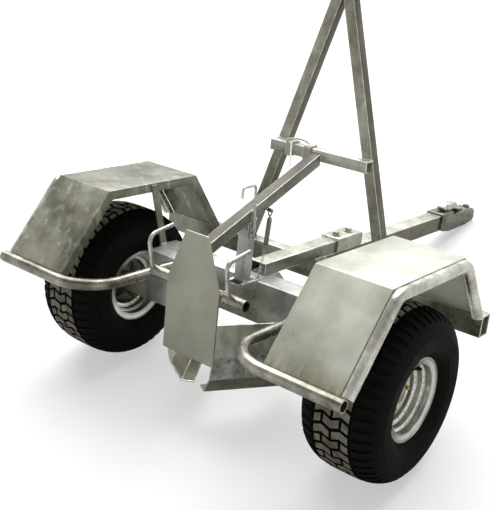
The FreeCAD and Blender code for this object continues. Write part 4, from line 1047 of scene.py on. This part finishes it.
BAR_FRONT = 337.4
BAR_BACK = 295.6
BAR_UNDER = 720.6
BAR_OVER = 762.4
EASE = 9.0
TURN_STEP = 6.7
ROPE_RADIUS = 3.4
ROPE_LAY = 18.0


def rope_turn(x, step, lift=0.0):
    """One turn pulled tight round the square bar, with three points at each corner."""
    quarter = step / 4
    return [
        (x, BAR_FRONT - EASE, BAR_OVER),
        (x, BAR_FRONT, BAR_OVER),
        (x + quarter * 0.2, BAR_FRONT, BAR_OVER - EASE),
        (x + quarter * 0.8, BAR_FRONT, BAR_UNDER + EASE),
        (x + quarter, BAR_FRONT, BAR_UNDER),
        (x + quarter * 1.2, BAR_FRONT - EASE, BAR_UNDER),
        (x + quarter * 1.8, BAR_BACK + EASE, BAR_UNDER),
        (x + quarter * 2, BAR_BACK, BAR_UNDER),
        (x + quarter * 2.2, BAR_BACK, BAR_UNDER + EASE),
        (x + quarter * 2.8, BAR_BACK, BAR_OVER - EASE),
        (x + quarter * 3, BAR_BACK, BAR_OVER + lift),
        (x + quarter * 3.2, BAR_BACK + EASE, BAR_OVER + lift),
    ]


def rope_route():
    """From the brace's side up to the bar, three turns, over them, and four turns back to a free end."""
    route = [(-20.9, 193, 700), (-60, 247, 733), (-88, 286, 757), (-94, 294, 762.4), (-95, 306, 762.4)]
    for number in range(3):
        route += rope_turn(-95 - TURN_STEP * number, -TURN_STEP, 8.0 if number == 2 else 0.0)
    route += [(-92, 318, 773.4), (-68, 326, 772), (-53, 329, 763.4)]
    for number in range(4):
        route += rope_turn(-50 + TURN_STEP * number, TURN_STEP)
    return route[:-1] + [(-25, BAR_BACK + 12, BAR_OVER), (-24.9, BAR_BACK + 26, BAR_OVER)]


def route_points(points):
    """The points of one smooth line that follows the route."""
    line = bpy.data.curves.new("rope line", "CURVE")
    line.dimensions = "3D"
    line.resolution_u = 7
    spline = line.splines.new("NURBS")
    spline.points.add(len(points) - 1)
    for bead, place in zip(spline.points, points):
        bead.co = (*(Vector(place) * MM), 1.0)
    spline.order_u = 3
    spline.use_endpoint_u = True
    holder = new_piece("rope line", line)
    read = bpy.data.meshes.new_from_object(holder)
    path = [point.co.copy() for point in read.vertices]
    bpy.data.objects.remove(holder)
    bpy.data.meshes.remove(read)
    return path


def twisted_rope(name, path, radius, lay):
    """Three strands laid round the line, one whole turn in each lay."""
    strands = []
    across = (path[1] - path[0]).orthogonal().normalized()
    offsets = []
    travelled = 0.0
    for number, place in enumerate(path):
        before = path[max(0, number - 1)]
        after = path[min(len(path) - 1, number + 1)]
        along = (after - before).normalized()
        across = (across - along * across.dot(along)).normalized()
        travelled += (place - before).length
        offsets.append((place, along, across, travelled / lay * math.tau))
    for strand in range(3):
        line = bpy.data.curves.new("strand", "CURVE")
        line.dimensions = "3D"
        line.bevel_depth = radius * 0.5
        line.bevel_resolution = 1
        line.use_fill_caps = True
        spline = line.splines.new("POLY")
        spline.points.add(len(path) - 1)
        for bead, (place, along, side, turned) in zip(spline.points, offsets):
            angle = turned + strand * math.tau / 3
            out = side * math.cos(angle) + along.cross(side) * math.sin(angle)
            bead.co = (*(place + out * radius * 0.5), 1.0)
        strands.append(new_piece("strand", line))
        pick(strands[-1])
        bpy.ops.object.convert(target="MESH")
    return joined(name, strands)


rope = twisted_rope("Crossbar_Rope", route_points(rope_route()), ROPE_RADIUS * MM, ROPE_LAY * MM)
rope.data.transform(parking())
fitted(smooth(painted(rope, rope_fibre), 80), "frame", "rope_fibre", "crossbar_rope")


# Stage, light and camera


def either(tree, first, second):
    """The greater of two values."""
    most = tree.nodes.new("ShaderNodeMath")
    most.operation = "MAXIMUM"
    tree.links.new(first, most.inputs[0])
    tree.links.new(second, most.inputs[1])
    return most.outputs[0]


FLOOR_BOUNCED = (0.24, 0.235, 0.2)
FLOOR_MIRRORED = (0.66, 0.66, 0.65)
FLOOR_SEEN = (0.95, 0.95, 0.95)
OVERHEAD_GREY = (0.36, 0.36, 0.34)
SOFT_SKY = (0.95, 0.98, 1.0)


def pale_floor():
    """A white floor that keeps the shadow, mirrors as white, and sends less light back up than it shows."""
    bpy.ops.mesh.primitive_plane_add(size=60, location=(0, 0, -0.0005))
    floor = bpy.context.object
    floor.name = "pale_floor"
    paint, tree, shader, _ = finish_base("pale floor")
    ray = tree.nodes.new("ShaderNodeLightPath").outputs
    mirrored = either(tree, ray["Is Glossy Ray"], ray["Is Transmission Ray"])
    shade = laid_over(tree, FLOOR_BOUNCED, FLOOR_MIRRORED, mirrored)
    shade = laid_over(tree, shade, FLOOR_SEEN, ray["Is Camera Ray"])
    tree.links.new(shade, shader.inputs["Base Color"])
    shader.inputs["Roughness"].default_value = 1.0
    shader.inputs["Specular IOR Level"].default_value = 0.0
    own_white = tree.nodes.new("ShaderNodeEmission")
    blend = tree.nodes.new("ShaderNodeMixShader")
    tree.links.new(band(tree, ray["Is Camera Ray"], 0.0, 1.0, 0.0, 0.5), blend.inputs["Fac"])
    tree.links.new(shader.outputs[0], blend.inputs[1])
    tree.links.new(own_white.outputs[0], blend.inputs[2])
    tree.links.new(blend.outputs[0], tree.nodes["Material Output"].inputs["Surface"])
    floor.data.materials.append(paint)


def pale_backdrop():
    """White round the horizon and greyer overhead where seen or mirrored, and a soft light elsewhere."""
    world = bpy.data.worlds.new("studio")
    bpy.context.scene.world = world
    world.use_nodes = True
    tree = world.node_tree
    tree.nodes.clear()
    out = tree.nodes.new("ShaderNodeOutputWorld")
    mix = tree.nodes.new("ShaderNodeMixShader")
    soft = tree.nodes.new("ShaderNodeBackground")
    white = tree.nodes.new("ShaderNodeBackground")
    soft.inputs["Color"].default_value = (*SOFT_SKY, 1.0)
    soft.inputs["Strength"].default_value = 0.3
    white.inputs["Strength"].default_value = 1.0
    heading = tree.nodes.new("ShaderNodeTexCoord")
    split = tree.nodes.new("ShaderNodeSeparateXYZ")
    tree.links.new(heading.outputs["Generated"], split.inputs[0])
    shade = colours(tree, split.outputs["Z"], [(0.22, WHITE), (0.75, OVERHEAD_GREY)])
    tree.links.new(shade, white.inputs["Color"])
    ray = tree.nodes.new("ShaderNodeLightPath").outputs
    mirrored = either(tree, ray["Is Glossy Ray"], ray["Is Transmission Ray"])
    seen = either(tree, ray["Is Camera Ray"], mirrored)
    tree.links.new(seen, mix.inputs["Fac"])
    tree.links.new(soft.outputs[0], mix.inputs[1])
    tree.links.new(white.outputs[0], mix.inputs[2])
    tree.links.new(mix.outputs[0], out.inputs["Surface"])


def lamp(name, place, target, size, power):
    """A soft rectangular light that points at its target."""
    light = bpy.data.lights.new(name, "AREA")
    light.shape = "RECTANGLE"
    light.size, light.size_y = size
    light.energy = power
    holder = new_piece(name, light)
    holder.location = place
    holder.rotation_euler = (Vector(target) - Vector(place)).to_track_quat("-Z", "Y").to_euler()


def sky_light():
    """One broad soft light from above, a little ahead and to the left."""
    light = bpy.data.lights.new("sky_light", "SUN")
    light.energy = 4.5
    light.angle = math.radians(72)
    holder = new_piece("sky_light", light)
    holder.rotation_euler = (math.radians(-28), math.radians(-20), 0)


pale_floor()
pale_backdrop()
sky_light()
lamp("front_softbox", place=(-1.6, 3.0, 2.6), target=(0, 0.1, 0.5), size=(2.4, 1.4), power=22.0)

view = bpy.data.cameras.new("photo_view")
view.sensor_width = 36.0
view.lens = 63.56
camera = new_piece("photo_view", view)
camera.location = (1.49964, -2.26475, 1.69447)
camera.rotation_euler = (math.radians(61.71375), math.radians(2.13119), math.radians(39.40739))
bpy.context.scene.camera = camera
bpy.context.scene.view_settings.view_transform = "Standard"
